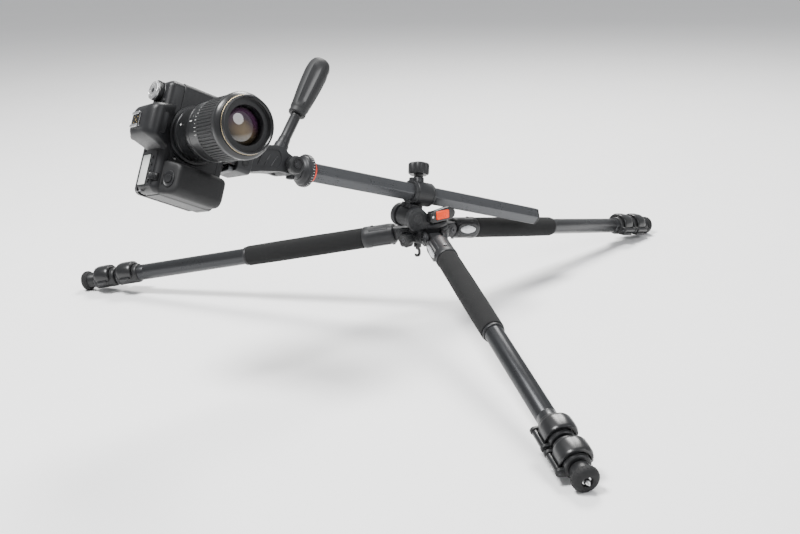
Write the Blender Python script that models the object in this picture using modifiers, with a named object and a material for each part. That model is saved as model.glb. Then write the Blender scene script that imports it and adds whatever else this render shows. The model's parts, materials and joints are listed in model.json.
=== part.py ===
"""Digital SLR camera on a three-section tripod with a hinged centre column.

The tripod stands on its widest leg stop, with the column swung out to one side.
Units are metres and degrees, +Z is up, and the floor under the feet is Z = 0.
"""
import math

import bmesh
import bpy
from mathutils import Vector

MM = 0.001
GAP = 0.3 * MM                # clearance between pieces that touch
RUN = 0.6 * MM                # clearance where a piece turns or slides past another

# Legs: stations run outward from the pivot pin, along the leg's own axis
LEG_AZIMUTHS = {"left": 165.0, "right": 45.0, "front": 285.0}
LEG_SLOPE = 11.56             # below horizontal, on the widest stop
PIVOT_RADIUS = 36 * MM        # pivot pins from the tripod's vertical axis
PIVOT_PIN_RADIUS = 3 * MM
KNUCKLE_RADIUS = 11 * MM
KNUCKLE_WIDTH = 22 * MM
UPPER_TUBE_RADIUS = 13 * MM
TUBE_WALL = 1.3 * MM
SOCKET_RADIUS = 17 * MM
SOCKET_LENGTH = 67 * MM
TUBE_INSET = 30 * MM          # where the upper tube starts inside its socket
GRIP_LENGTH = 202 * MM
GRIP_RADIUS = 16.35 * MM
BARE_TUBE_LENGTH = 201.7 * MM
CLAMP_LENGTH = 40 * MM
CLAMP_RADIUS = 16 * MM
CLAMP_SPACING = 3.3 * MM
SECTION_INSET = 60 * MM       # each section starts this far inside the one around it
FOOT_RADIUS = 16 * MM
FOOT_REACH = 18.4 * MM        # from the lower clamp to the foot's widest ring
LEVER_WIDTH = 27 * MM
LEVER_THICKNESS = 5 * MM
LEG_SIDES = 16                # facets around each round piece of a leg

# Canopy, swivel and hinge: heights above the point where the leg axes meet
CANOPY_RADIUS = 31 * MM
CANOPY_TOP = 6 * MM
CANOPY_BOTTOM = -18 * MM
PASSAGE_RADIUS = 16.5 * MM    # the upright column passes through here
SWIVEL_PLATE = 8 * MM
SWIVEL_AZIMUTH = 217.0        # where the column points
HINGE_REACH = 37 * MM         # hinge axis from the vertical axis, and from the column's axis
HINGE_HEIGHT = 25.2 * MM
HINGE_RADIUS = 17.5 * MM
HINGE_PIN_RADIUS = 4 * MM
CLAMP_KNUCKLE = 15 * MM
YOKE_INNER = 14 * MM
YOKE_OUTER = 23 * MM

# Column: stations run towards the head from the foot of the hinge's perpendicular
COLUMN_RISE = 18.2            # above horizontal
COLUMN_FLATS = 25.8 * MM
COLUMN_WALL = 2 * MM
COLUMN_TAIL = 257 * MM
COLUMN_HEAD = 189.5 * MM
RING_RADIUS = max(18 * MM, COLUMN_FLATS / math.sqrt(3) + 3 * MM)   # clears the hexagon's corners
RING_TAIL = 30 * MM
RING_HEAD = 9 * MM
KNOB_TURN = 198.0             # direction of the clamp's screw around the column
FRICTION_RING = 6 * MM

# Head: heights above the column's friction ring
HEAD_TURN = 194.1             # pan of the head about the column
TILT_TURN = 8.4               # tilt of the platform on the head
PAN_RADIUS = 23 * MM
PAN_HEIGHT = 16 * MM
TILT_HEIGHT = 38.5 * MM
BARREL_RADIUS = 12.5 * MM
BARREL_HALF = 13 * MM
ARM_WIDTH = 7 * MM
PLATFORM_RISE = 66 * MM       # platform's underside above the tilt axis
PLATFORM_THICKNESS = 22 * MM
PLATFORM_SHIFT = -9.4 * MM    # platform's centre beside the tilt axis
PLATE_THICKNESS = 15 * MM
HANDLE_DROP = 14.7            # handle below the platform's plane
HANDLE_RADIUS = 7.5 * MM
HANDLE_GRIP_START = 61 * MM
HANDLE_GRIP_LENGTH = 91.5 * MM

# Camera: width along X, front at -Y, height along Z, seen upright
GRIP_REACH = 86.5 * MM        # lens axis to the body's grip end
DIAL_REACH = 61.5 * MM        # lens axis to the body's other end
BODY_HEIGHT = 119 * MM
SHOULDER_HEIGHT = 90 * MM      # top of the body on the grip side
DIAL_SHOULDER = 97 * MM        # the same under the mode dial
SEAM_HEIGHT = 76 * MM         # between the body and the top cover
BODY_FRONT = 22 * MM          # front wall, ahead of the tripod socket
BODY_BACK = 24 * MM
COVER_THICKNESS = 10 * MM
LENS_HEIGHT = 48 * MM
LENS_LENGTH = 124 * MM
LENS_BORE = 27 * MM
RIM_RADIUS = 35.5 * MM        # filter ring at the front
FLANGE_RADIUS = 41 * MM       # widest ring, just behind the filter ring
BARREL_RADII = (35 * MM, 38 * MM)
FOCUS_RADIUS = 40 * MM
FOCUS_START = 66 * MM
FOCUS_LENGTH = 40 * MM
DIAL_RADIUS = 12.5 * MM

ALONG_X = (math.pi / 2, 0, math.pi / 2)   # turns a piece's Z to X, its X to Y
ALONG_Y = (-math.pi / 2, 0, 0)            # turns a piece's Z to Y
ALONG_FRONT = (math.pi / 2, 0, 0)         # turns a piece's Z to -Y, its Y to Z


# ---------------------------------------------------------------- scene and materials

for old in list(bpy.data.objects):
    bpy.data.objects.remove(old, do_unlink=True)

parts = bpy.data.collections.new("camera_on_tripod")
cutters = bpy.data.collections.new("cutters")
bpy.context.scene.collection.children.link(parts)
bpy.context.scene.collection.children.link(cutters)


def make_material(name, colour, roughness, metallic):
    material = bpy.data.materials.new(name)
    material.use_nodes = True
    shader = material.node_tree.nodes["Principled BSDF"]
    shader.inputs["Base Color"].default_value = (*colour, 1)
    shader.inputs["Roughness"].default_value = roughness
    shader.inputs["Metallic"].default_value = metallic
    return material


MATERIALS = {
    "cast": make_material("cast_black", (0.05, 0.05, 0.052), 0.55, 0.4),
    "tube": make_material("anodised_grey", (0.09, 0.09, 0.092), 0.35, 0.9),
    "foam": make_material("foam_black", (0.022, 0.022, 0.022), 0.95, 0.0),
    "silver": make_material("latch_silver", (0.45, 0.46, 0.47), 0.4, 0.7),
    "plastic": make_material("moulded_black", (0.03, 0.03, 0.032), 0.5, 0.0),
    "orange": make_material("signal_orange", (0.95, 0.16, 0.02), 0.4, 0.0),
    "rubber": make_material("rubber_black", (0.025, 0.025, 0.025), 0.85, 0.0),
    "body": make_material("camera_black", (0.025, 0.025, 0.027), 0.6, 0.0),
    "glass": make_material("coated_glass", (0.2, 0.15, 0.12), 0.05, 0.0),
    "steel": make_material("steel", (0.55, 0.55, 0.56), 0.3, 1.0),
}


# ---------------------------------------------------------------- modelling helpers

def frame(name, parent, location=(0, 0, 0), rotation=(0, 0, 0)):
    """An empty that carries the pieces built in its own axes."""
    empty = bpy.data.objects.new(name, None)
    empty.empty_display_size = 0.02
    empty.parent = parent
    empty.location = location
    empty.rotation_euler = rotation
    parts.objects.link(empty)
    return empty


def add_object(name, mesh, material, parent, location, rotation):
    """Puts a mesh in the model, or among the cutters where it has no material."""
    piece = bpy.data.objects.new(name, mesh)
    piece.parent = parent
    piece.location = location
    piece.rotation_euler = rotation
    if material:
        mesh.materials.append(MATERIALS[material])
        parts.objects.link(piece)
    else:
        cutters.objects.link(piece)
        piece.display_type = 'WIRE'
        piece.hide_render = True
    return piece


def smooth(mesh, angle=35.0):
    mesh.shade_smooth()
    mesh.set_sharp_from_angle(angle=math.radians(angle))


def add_bevel(piece, width, angle=40.0):
    bevel = piece.modifiers.new("Bevel", 'BEVEL')
    bevel.width = width
    bevel.segments = 1
    bevel.limit_method = 'ANGLE'
    bevel.angle_limit = math.radians(angle)


def combine(piece, tool, operation='DIFFERENCE'):
    """Cuts the piece with the tool, or joins the tool to it."""
    boolean = piece.modifiers.new(tool.name, 'BOOLEAN')
    boolean.operation = operation
    boolean.object = tool


def box(name, low, high, parent, material=None, bevel=0.0, rotation=(0, 0, 0)):
    """A block between two corners of the parent's frame, turned about its own centre."""
    low, high = Vector(low), Vector(high)
    mesh = bpy.data.meshes.new(name)
    shape = bmesh.new()
    bmesh.ops.create_cube(shape, size=1.0)
    bmesh.ops.scale(shape, vec=high - low, verts=shape.verts)
    shape.to_mesh(mesh)
    shape.free()
    piece = add_object(name, mesh, material, parent, (low + high) / 2, rotation)
    if bevel:
        add_bevel(piece, bevel)
        smooth(mesh)
    return piece


def cylinder(name, radius, length, parent, location, rotation=(0, 0, 0), material=None, sides=32):
    """A cylinder centred on its location, along its own Z."""
    mesh = bpy.data.meshes.new(name)
    shape = bmesh.new()
    bmesh.ops.create_cone(shape, cap_ends=True, segments=sides, radius1=radius, radius2=radius,
                          depth=length)
    shape.to_mesh(mesh)
    shape.free()
    smooth(mesh)
    return add_object(name, mesh, material, parent, location, rotation)


def turned(name, profile, parent, location=(0, 0, 0), rotation=(0, 0, 0), material=None, sides=32):
    """A solid of revolution about its own Z, from (radius, height) points, top to bottom."""
    mesh = bpy.data.meshes.new(name)
    edges = [(i, i + 1) for i in range(len(profile) - 1)]
    if profile[0][0] > 0:
        edges.append((len(profile) - 1, 0))
    mesh.from_pydata([(radius, 0, height) for radius, height in profile], edges, [])
    piece = add_object(name, mesh, material, parent, location, rotation)
    screw = piece.modifiers.new("Turn", 'SCREW')
    screw.steps = sides
    screw.render_steps = sides
    screw.use_merge_vertices = True
    screw.merge_threshold = 0.00001
    screw.use_smooth_shade = False
    return piece


def extruded(name, outline, thickness, parent, location=(0, 0, 0), rotation=(0, 0, 0),
             material=None, bevel=0.0):
    """A flat outline in its own XY plane, thickened evenly on both sides of it."""
    curve = bpy.data.curves.new(name + "_outline", 'CURVE')
    curve.dimensions = '2D'
    curve.fill_mode = 'BOTH'
    curve.extrude = thickness / 2
    spline = curve.splines.new('POLY')
    spline.points.add(len(outline) - 1)
    for point, (x, y) in zip(spline.points, outline):
        point.co = (x, y, 0, 1)
    spline.use_cyclic_u = True
    flat = bpy.data.objects.new(name + "_outline", curve)
    cutters.objects.link(flat)
    evaluated = flat.evaluated_get(bpy.context.evaluated_depsgraph_get())
    mesh = bpy.data.meshes.new_from_object(evaluated)
    mesh.name = name
    bpy.data.objects.remove(flat, do_unlink=True)
    shape = bmesh.new()
    shape.from_mesh(mesh)
    bmesh.ops.remove_doubles(shape, verts=shape.verts, dist=0.00001)
    shape.to_mesh(mesh)
    shape.free()
    mesh.materials.clear()
    piece = add_object(name, mesh, material, parent, location, rotation)
    if bevel:
        add_bevel(piece, bevel)
        smooth(mesh)
    return piece


def arc(centre, radius, start, end, count):
    """Points along an arc, both ends included, with angles in degrees."""
    points = []
    for i in range(count + 1):
        angle = math.radians(start + (end - start) * i / count)
        points.append((centre[0] + radius * math.cos(angle), centre[1] + radius * math.sin(angle)))
    return points


def rounded_outline(low, high, radius, count=4):
    """A rectangle with round corners."""
    (x0, y0), (x1, y1) = low, high
    return (arc((x1 - radius, y0 + radius), radius, -90, 0, count)
            + arc((x1 - radius, y1 - radius), radius, 0, 90, count)
            + arc((x0 + radius, y1 - radius), radius, 90, 180, count)
            + arc((x0 + radius, y0 + radius), radius, 180, 270, count))


def lobed_outline(radius, depth, lobes, count=48):
    """A round hand knob's outline, with shallow finger hollows."""
    points = []
    for i in range(count):
        angle = 2 * math.pi * i / count
        reach = radius - depth * (0.5 - 0.5 * math.cos(lobes * angle)) ** 2
        points.append((reach * math.cos(angle), reach * math.sin(angle)))
    return points


def hexagon(flats, turn=0.0):
    radius = flats / math.sqrt(3)
    return [(radius * math.cos(math.radians(60 * i + turn)),
             radius * math.sin(math.radians(60 * i + turn)))
            for i in range(6)]


root = frame("camera_on_tripod_root", None)


# ---------------------------------------------------------------- legs

clamp_stations = {}
clamp_stations["upper"] = SOCKET_LENGTH + GRIP_LENGTH + BARE_TUBE_LENGTH
clamp_stations["lower"] = clamp_stations["upper"] + CLAMP_LENGTH + CLAMP_SPACING
lower_clamp_end = clamp_stations["lower"] + CLAMP_LENGTH
foot_station = lower_clamp_end + FOOT_REACH

tube_radii = [UPPER_TUBE_RADIUS - i * (TUBE_WALL + GAP) for i in range(3)]
tube_starts = [TUBE_INSET, TUBE_INSET + SECTION_INSET, TUBE_INSET + 2 * SECTION_INSET]
LUG_SIDE = -CLAMP_RADIUS - 4.8 * MM       # centre of the lever's pin, on the clamp's lug
LUG_DROP = -5 * MM
LUG_RADIUS = 5 * MM


def leg_tube(name, section, end, parent):
    """One telescopic section: a plain tube along the leg."""
    outer = tube_radii[section]
    inner = outer - TUBE_WALL
    start = tube_starts[section]
    profile = [(inner, end), (outer, end), (outer, start), (inner, start)]
    return turned(name, profile, parent, rotation=ALONG_X, material="tube", sides=LEG_SIDES)


def add_clamp_collar(tube, leg, which, parent):
    """The collar bonded to a section's end, with the lug that the flip lever turns on."""
    start = clamp_stations[which]
    section = 0 if which == "upper" else 1
    bore = tube_radii[section + 1] + GAP
    seat = tube_radii[section] - 0.4 * MM
    profile = [(bore, start + CLAMP_LENGTH), (CLAMP_RADIUS - 1.5 * MM, start + CLAMP_LENGTH),
               (CLAMP_RADIUS, start + CLAMP_LENGTH - 1.5 * MM), (CLAMP_RADIUS, start + 2 * MM),
               (seat + 1.6 * MM, start), (seat, start), (seat, start + CLAMP_LENGTH - 4 * MM),
               (bore, start + CLAMP_LENGTH - 4 * MM)]
    collar = turned(f"{leg}_{which}_collar", profile, parent, rotation=ALONG_X, sides=LEG_SIDES)
    combine(tube, collar, 'UNION')
    middle = start + CLAMP_LENGTH / 2
    # two lug ears beside the lever's pin, and the pin between them
    ear = (CLAMP_LENGTH - LEVER_WIDTH) / 2 - 1 * MM
    for side in (-1, 1):
        centre = middle + side * (LEVER_WIDTH / 2 + GAP + ear / 2)
        lug = extruded(f"{leg}_{which}_lug_{side + 1}",
                       arc((LUG_SIDE, LUG_DROP), LUG_RADIUS, 90, 270, 5)
                       + [(-tube_radii[section] + 1 * MM, LUG_DROP - LUG_RADIUS),
                          (-tube_radii[section] + 1 * MM, LUG_DROP + LUG_RADIUS)],
                       ear, parent, (centre, 0, 0), ALONG_X)
        combine(tube, lug, 'UNION')
    pin = cylinder(f"{leg}_{which}_lever_pin", 1.6 * MM, LEVER_WIDTH + ear, parent,
                   (middle, LUG_SIDE, LUG_DROP), ALONG_X, sides=10)
    combine(tube, pin, 'UNION')


def flip_lever(leg, which, parent):
    """A paddle that wraps over the clamp from its pin and ends in a thumb lip."""
    inner = CLAMP_RADIUS + RUN
    outer = inner + LEVER_THICKNESS
    hub = 4.2 * MM
    tip = (inner + 3.2 * MM, -3.4 * MM)
    shift = (-LUG_SIDE, -LUG_DROP)
    outline = (arc((LUG_SIDE, LUG_DROP), hub, 330, 150, 5)
               + arc((0, 0), outer, 168, 14, 6)
               + arc(tip, 4.2 * MM, 50, -90, 3)
               + [(inner + 0.3 * MM, -4.5 * MM)]
               + arc((0, 0), inner, 0, 174, 7))
    outline = [(x + shift[0], y + shift[1]) for x, y in outline]
    middle = clamp_stations[which] + CLAMP_LENGTH / 2
    lever = extruded(f"{leg}_{which}_lever", outline, LEVER_WIDTH, parent,
                     (middle, LUG_SIDE, LUG_DROP), ALONG_X, "plastic", bevel=1.2 * MM)
    bore = cylinder(f"{leg}_{which}_lever_bore", 1.6 * MM + GAP, LEVER_WIDTH + 4 * MM, parent,
                    (middle, LUG_SIDE, LUG_DROP), ALONG_X, sides=10)
    combine(lever, bore)
    return lever


def leg_socket(leg, parent):
    """The cast socket between the canopy's ears and the upper tube."""
    r = SOCKET_RADIUS
    bore = UPPER_TUBE_RADIUS + GAP
    neck = KNUCKLE_RADIUS + 3 * MM
    profile = [(0, TUBE_INSET - GAP), (bore, TUBE_INSET - GAP), (bore, SOCKET_LENGTH),
               (r - 2.2 * MM, SOCKET_LENGTH), (r - 0.8 * MM, SOCKET_LENGTH - 3 * MM),
               (r, SOCKET_LENGTH - 22 * MM), (r, neck + 16 * MM), (r - 2.5 * MM, neck + 6 * MM),
               (9.5 * MM, neck), (0, neck)]
    socket = turned(f"{leg}_socket", profile, parent, rotation=ALONG_X, material="cast", sides=LEG_SIDES)
    knuckle = cylinder(f"{leg}_knuckle", KNUCKLE_RADIUS, KNUCKLE_WIDTH, parent, (0, 0, 0), ALONG_Y,
                       sides=16)
    combine(socket, knuckle, 'UNION')
    web = box(f"{leg}_web", (0, -KNUCKLE_WIDTH / 2, -KNUCKLE_RADIUS),
              (neck + 4 * MM, KNUCKLE_WIDTH / 2, KNUCKLE_RADIUS), parent)
    combine(socket, web, 'UNION')
    bore_tool = cylinder(f"{leg}_pivot_bore", PIVOT_PIN_RADIUS + GAP, KNUCKLE_WIDTH + 4 * MM, parent,
                         (0, 0, 0), ALONG_Y, sides=10)
    combine(socket, bore_tool)
    return socket


def angle_latch(leg, socket, parent):
    """The leaf-shaped button in the socket's side that frees the leg's angle stop."""
    centre = 33 * MM
    half_length, half_height, depth = 14.5 * MM, 5.8 * MM, 2.6 * MM
    travel = 0.9 * MM
    face = -SOCKET_RADIUS - 0.8 * MM

    def leaf(grow):
        top = arc((0, 0), 1, 0, 180, 7)
        points = [(x * (half_length + grow), y * (half_height + grow)) for x, y in top]
        return points + [(x, -y) for x, y in reversed(points[1:-1])]

    pocket = extruded(f"{leg}_latch_pocket", leaf(GAP), depth + 6 * MM, parent,
                      (centre, face + travel + GAP + depth / 2 - 3 * MM, 0), ALONG_FRONT)
    combine(socket, pocket)
    return extruded(f"{leg}_angle_latch", leaf(0), depth, parent, (centre, face + depth / 2, 0),
                    ALONG_FRONT, "silver", bevel=0.9 * MM)


def leg_foot(leg, parent):
    """The rubber foot, a blunt round pad with a hole that the spike shows through."""
    r = FOOT_RADIUS
    bore = 3.4 * MM
    stem = tube_radii[2] + 1.5 * MM
    profile = [(bore, 11 * MM), (r * 0.55, 11 * MM), (r * 0.8, 8.5 * MM), (r * 0.95, 4.5 * MM),
               (r, 0), (r * 0.97, -4 * MM), (r * 0.86, -8 * MM), (stem, -12 * MM),
               (stem, -FOOT_REACH + 1.5 * MM), (bore, -FOOT_REACH + 1.5 * MM)]
    return turned(f"{leg}_foot", profile, parent, (foot_station, 0, 0), ALONG_X, "rubber",
                  sides=LEG_SIDES)


def build_leg(leg, azimuth):
    turn = frame(f"{leg}_azimuth", root, rotation=(0, 0, math.radians(azimuth)))
    slope = math.radians(LEG_SLOPE)
    pivot = frame(f"{leg}_pivot", turn, (PIVOT_RADIUS, 0, -PIVOT_RADIUS * math.tan(slope)), (0, slope, 0))
    socket = leg_socket(leg, pivot)
    angle_latch(leg, socket, pivot)
    upper = leg_tube(f"{leg}_upper_tube", 0, clamp_stations["upper"] + CLAMP_LENGTH - 6 * MM, pivot)
    add_clamp_collar(upper, leg, "upper", pivot)
    inner = UPPER_TUBE_RADIUS + GAP
    grip_start = SOCKET_LENGTH + GAP
    grip_end = SOCKET_LENGTH + GRIP_LENGTH
    edge = 1.6 * MM
    turned(f"{leg}_grip", [(inner, grip_end), (GRIP_RADIUS - edge, grip_end),
                           (GRIP_RADIUS, grip_end - edge),
                           (GRIP_RADIUS, grip_start + edge), (GRIP_RADIUS - edge, grip_start),
                           (inner, grip_start)], pivot, rotation=ALONG_X, material="foam",
                           sides=LEG_SIDES)
    flip_lever(leg, "upper", pivot)
    middle = leg_tube(f"{leg}_middle_tube", 1, clamp_stations["lower"] + CLAMP_LENGTH - 6 * MM, pivot)
    add_clamp_collar(middle, leg, "lower", pivot)
    flip_lever(leg, "lower", pivot)
    # the last section ends in a plug with a steel spike
    outer = tube_radii[2]
    inner = outer - TUBE_WALL
    end = foot_station - FOOT_REACH + 1.2 * MM
    tip = foot_station + 12 * MM
    turned(f"{leg}_lower_tube",
           [(0, tip), (1.2 * MM, tip - 1.5 * MM), (3 * MM, tip - 8 * MM), (3 * MM, end), (outer, end),
            (outer, tube_starts[2]), (inner, tube_starts[2]), (inner, end - 8 * MM), (0, end - 8 * MM)],
           pivot, rotation=ALONG_X, material="tube", sides=LEG_SIDES)
    leg_foot(leg, pivot)
    return turn


leg_turns = {leg: build_leg(leg, azimuth) for leg, azimuth in LEG_AZIMUTHS.items()}


# ---------------------------------------------------------------- canopy and swivel

pivot_drop = -PIVOT_RADIUS * math.tan(math.radians(LEG_SLOPE))
KNOB_AZIMUTH = (LEG_AZIMUTHS["left"] + LEG_AZIMUTHS["front"]) / 2
EAR_RADIUS = KNUCKLE_RADIUS - 0.5 * MM
EAR_WIDTH = 6.5 * MM

canopy = turned("canopy", [(PASSAGE_RADIUS, CANOPY_TOP), (CANOPY_RADIUS - 2 * MM, CANOPY_TOP),
                           (CANOPY_RADIUS, CANOPY_TOP - 2 * MM), (CANOPY_RADIUS, CANOPY_BOTTOM + 3 * MM),
                           (CANOPY_RADIUS - 3 * MM, CANOPY_BOTTOM), (PASSAGE_RADIUS, CANOPY_BOTTOM)],
                root, material="cast", sides=30)
for leg, turn in leg_turns.items():
    half = KNUCKLE_WIDTH / 2 + GAP
    ears = extruded(f"{leg}_ears", [(22 * MM, pivot_drop - EAR_RADIUS)]
                    + arc((PIVOT_RADIUS, pivot_drop), EAR_RADIUS, -90, 90, 7)
                    + [(22 * MM, pivot_drop + EAR_RADIUS)], 2 * (half + EAR_WIDTH), turn,
                    rotation=ALONG_FRONT)
    combine(canopy, ears, 'UNION')
for leg, turn in leg_turns.items():
    half = KNUCKLE_WIDTH / 2 + GAP
    slot = box(f"{leg}_slot", (PIVOT_RADIUS - KNUCKLE_RADIUS - RUN, -half, -40 * MM),
               (PIVOT_RADIUS + 30 * MM, half, 40 * MM), turn)
    combine(canopy, slot)
    pin = cylinder(f"{leg}_pivot_pin", PIVOT_PIN_RADIUS, 2 * (half + EAR_WIDTH - 2 * MM), turn,
                   (PIVOT_RADIUS, 0, pivot_drop), ALONG_Y, sides=10)
    combine(canopy, pin, 'UNION')

knob_turn = frame("canopy_knob_turn", root, rotation=(0, 0, math.radians(KNOB_AZIMUTH)))
KNOB_DROP = -8 * MM
knob_stem = cylinder("canopy_knob_stem", 5 * MM, 16 * MM, knob_turn,
                     (CANOPY_RADIUS + 2 * MM, 0, KNOB_DROP),
                     ALONG_X, sides=20)
stem_hole = cylinder("canopy_knob_hole", 5 * MM + GAP, 16 * MM + 2 * GAP, knob_turn,
                     (CANOPY_RADIUS + 2 * MM, 0, KNOB_DROP), ALONG_X, sides=20)
combine(canopy, stem_hole)
canopy_knob = extruded("canopy_knob", lobed_outline(12 * MM, 1.8 * MM, 6, 24), 14 * MM, knob_turn,
                       (CANOPY_RADIUS + 16 * MM, 0, KNOB_DROP), ALONG_X, "plastic", bevel=2.5 * MM)
combine(canopy_knob, knob_stem, 'UNION')

# a hook plate hangs in a fork under the canopy
HOOK_RADIUS = 23.5 * MM
HOOK_DROP = CANOPY_BOTTOM - 4 * MM
HOOK_THICKNESS = 4 * MM
hook_fork = box("hook_fork", (HOOK_RADIUS - 4 * MM, -5 * MM, CANOPY_BOTTOM - 7.5 * MM),
                (HOOK_RADIUS + 4 * MM, 5 * MM, CANOPY_BOTTOM + 2 * MM), knob_turn)
combine(canopy, hook_fork, 'UNION')
hook_slot = box("hook_slot", (HOOK_RADIUS - 6 * MM, -HOOK_THICKNESS / 2 - GAP, CANOPY_BOTTOM - 10 * MM),
                (HOOK_RADIUS + 6 * MM, HOOK_THICKNESS / 2 + GAP, CANOPY_BOTTOM + 0.4 * MM), knob_turn)
combine(canopy, hook_slot)
hook_pin = cylinder("hook_pin", 1.4 * MM, 9 * MM, knob_turn, (HOOK_RADIUS, 0, HOOK_DROP), ALONG_Y,
                    sides=12)
combine(canopy, hook_pin, 'UNION')
hook = extruded("hook", arc((0, 0), 3.2 * MM, 0, 180, 6)
                + [(-3.2 * MM, -4 * MM), (-5.5 * MM, -8 * MM), (-5.5 * MM, -15 * MM), (-3 * MM, -18 * MM),
                   (3.5 * MM, -18 * MM), (5.5 * MM, -15.5 * MM), (5.5 * MM, -12.5 * MM),
                   (3 * MM, -12.5 * MM), (2.5 * MM, -14.5 * MM), (-2 * MM, -14.5 * MM),
                   (-2 * MM, -9 * MM), (3.2 * MM, -5.5 * MM)], HOOK_THICKNESS, knob_turn,
                (HOOK_RADIUS, 0, HOOK_DROP), ALONG_FRONT, "plastic")
hook_bore = cylinder("hook_bore", 1.4 * MM + GAP, 12 * MM, knob_turn, (HOOK_RADIUS, 0, HOOK_DROP),
                     ALONG_Y,
                     sides=12)
combine(hook, hook_bore)

swivel = frame("swivel", root, rotation=(0, 0, math.radians(SWIVEL_AZIMUTH)))
plate_bottom = CANOPY_TOP + GAP
plate_top = plate_bottom + SWIVEL_PLATE
swivel_base = turned("swivel_base", [(0, plate_top), (CANOPY_RADIUS - 4 * MM, plate_top),
                                     (CANOPY_RADIUS - 1 * MM, plate_top - 3 * MM),
                                     (CANOPY_RADIUS - 1 * MM, plate_bottom), (0, plate_bottom)],
                     swivel, material="cast", sides=30)
cheek_width = YOKE_OUTER - YOKE_INNER
for side in (-1, 1):
    cheek = extruded(f"hinge_cheek_{side + 1}",
                     [(4 * MM, plate_bottom), (HINGE_REACH + 6 * MM, plate_bottom)]
                     + arc((HINGE_REACH, HINGE_HEIGHT), HINGE_RADIUS, -62, 118, 10)
                     + [(8 * MM, plate_top + 7 * MM), (4 * MM, plate_top)], cheek_width, swivel,
                     (0, side * (YOKE_INNER + YOKE_OUTER) / 2, 0), ALONG_FRONT)
    combine(swivel_base, cheek, 'UNION')
rail = box("lever_rail", (-20 * MM, 18.5 * MM, plate_bottom), (20 * MM, YOKE_OUTER, 33 * MM), swivel)
combine(swivel_base, rail, 'UNION')
clear_passage = cylinder("swivel_passage", PASSAGE_RADIUS, 80 * MM, swivel, (0, 0, 0), sides=30)
combine(swivel_base, clear_passage)
knuckle_room = cylinder("knuckle_room", CLAMP_KNUCKLE + RUN, 2 * YOKE_INNER, swivel,
                        (HINGE_REACH, 0, HINGE_HEIGHT), ALONG_Y, sides=28)
combine(swivel_base, knuckle_room)
hinge_pin = cylinder("hinge_pin", HINGE_PIN_RADIUS, 2 * YOKE_OUTER - 4 * MM, swivel,
                     (HINGE_REACH, 0, HINGE_HEIGHT), ALONG_Y, sides=14)
combine(swivel_base, hinge_pin, 'UNION')
socket_hole = cylinder("hinge_socket_hole", 4.5 * MM, 5 * MM, swivel,
                       (HINGE_REACH, YOKE_OUTER, HINGE_HEIGHT), ALONG_Y, sides=6)
combine(swivel_base, socket_hole)

# the swivel's lock lever swings up along the yoke's side, with the release button in its face
LEVER_PIN_X = 14 * MM
LEVER_PIN_HEIGHT = 26 * MM
LEVER_PIN_RADIUS = 2.2 * MM
LEVER_FACE = YOKE_OUTER + GAP
LEVER_DEPTH = 9 * MM
lever_low, lever_high = plate_top + 1.6 * MM, 37 * MM
lever_pin_y = LEVER_FACE + LEVER_DEPTH / 2
lever_frame = frame("swivel_lever_pin", swivel, (LEVER_PIN_X, lever_pin_y, 0))
lever_pin = cylinder("lever_pin", LEVER_PIN_RADIUS, LEVER_DEPTH + 2 * MM, lever_frame,
                     (0, -2.5 * MM, LEVER_PIN_HEIGHT), ALONG_Y, sides=12)
combine(swivel_base, lever_pin, 'UNION')
lever_middle = (lever_low + lever_high) / 2
swivel_lever = extruded("swivel_lever",
                        [(4.5 * MM, lever_low + 3 * MM), (4.5 * MM, lever_high - 6 * MM),
                         (-4 * MM, lever_high - 3 * MM), (-24 * MM, lever_high)]
                        + arc((-33 * MM, lever_middle), (lever_high - lever_low) / 2, 90, 250, 6)
                        + [(-24 * MM, lever_low + 2 * MM), (-6 * MM, lever_low)],
                        LEVER_DEPTH, lever_frame, rotation=ALONG_FRONT, material="plastic", bevel=2 * MM)
lever_bore = cylinder("lever_bore", LEVER_PIN_RADIUS + GAP, LEVER_DEPTH + 4 * MM, lever_frame,
                      (0, 0, LEVER_PIN_HEIGHT), ALONG_Y, sides=12)
combine(swivel_lever, lever_bore)
BUTTON_CENTRE = (-17 * MM, lever_middle + 0.5 * MM)
BUTTON_HALF = (12 * MM, 6.5 * MM)
BUTTON_PROUD = 1.4 * MM
BUTTON_DEPTH = 5.5 * MM
button_middle = LEVER_DEPTH / 2 + BUTTON_PROUD - BUTTON_DEPTH / 2
button_pocket = box("button_pocket",
                    (BUTTON_CENTRE[0] - BUTTON_HALF[0] - GAP,
                     LEVER_DEPTH / 2 + BUTTON_PROUD - BUTTON_DEPTH - GAP
                     - 2 * MM, BUTTON_CENTRE[1] - BUTTON_HALF[1] - GAP),
                    (BUTTON_CENTRE[0] + BUTTON_HALF[0] + GAP, LEVER_DEPTH,
                     BUTTON_CENTRE[1] + BUTTON_HALF[1] + GAP),
                    lever_frame)
combine(swivel_lever, button_pocket)
release_button = box("release_button",
                     (BUTTON_CENTRE[0] - BUTTON_HALF[0], button_middle - BUTTON_DEPTH / 2,
                      BUTTON_CENTRE[1] - BUTTON_HALF[1]),
                     (BUTTON_CENTRE[0] + BUTTON_HALF[0], button_middle + BUTTON_DEPTH / 2,
                      BUTTON_CENTRE[1] + BUTTON_HALF[1]), lever_frame, "orange", bevel=1 * MM)


# ---------------------------------------------------------------- column and its clamp

hinge = frame("column_hinge", swivel, (HINGE_REACH, 0, HINGE_HEIGHT),
              (0, math.radians(90 - COLUMN_RISE), 0))
# in the hinge's frame Z runs to the head, Y is the hinge axis and the column lies at -X
AXIS_X = -HINGE_REACH
HEX_TURN = 90.0               # a corner of the hexagon points along the hinge axis

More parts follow.
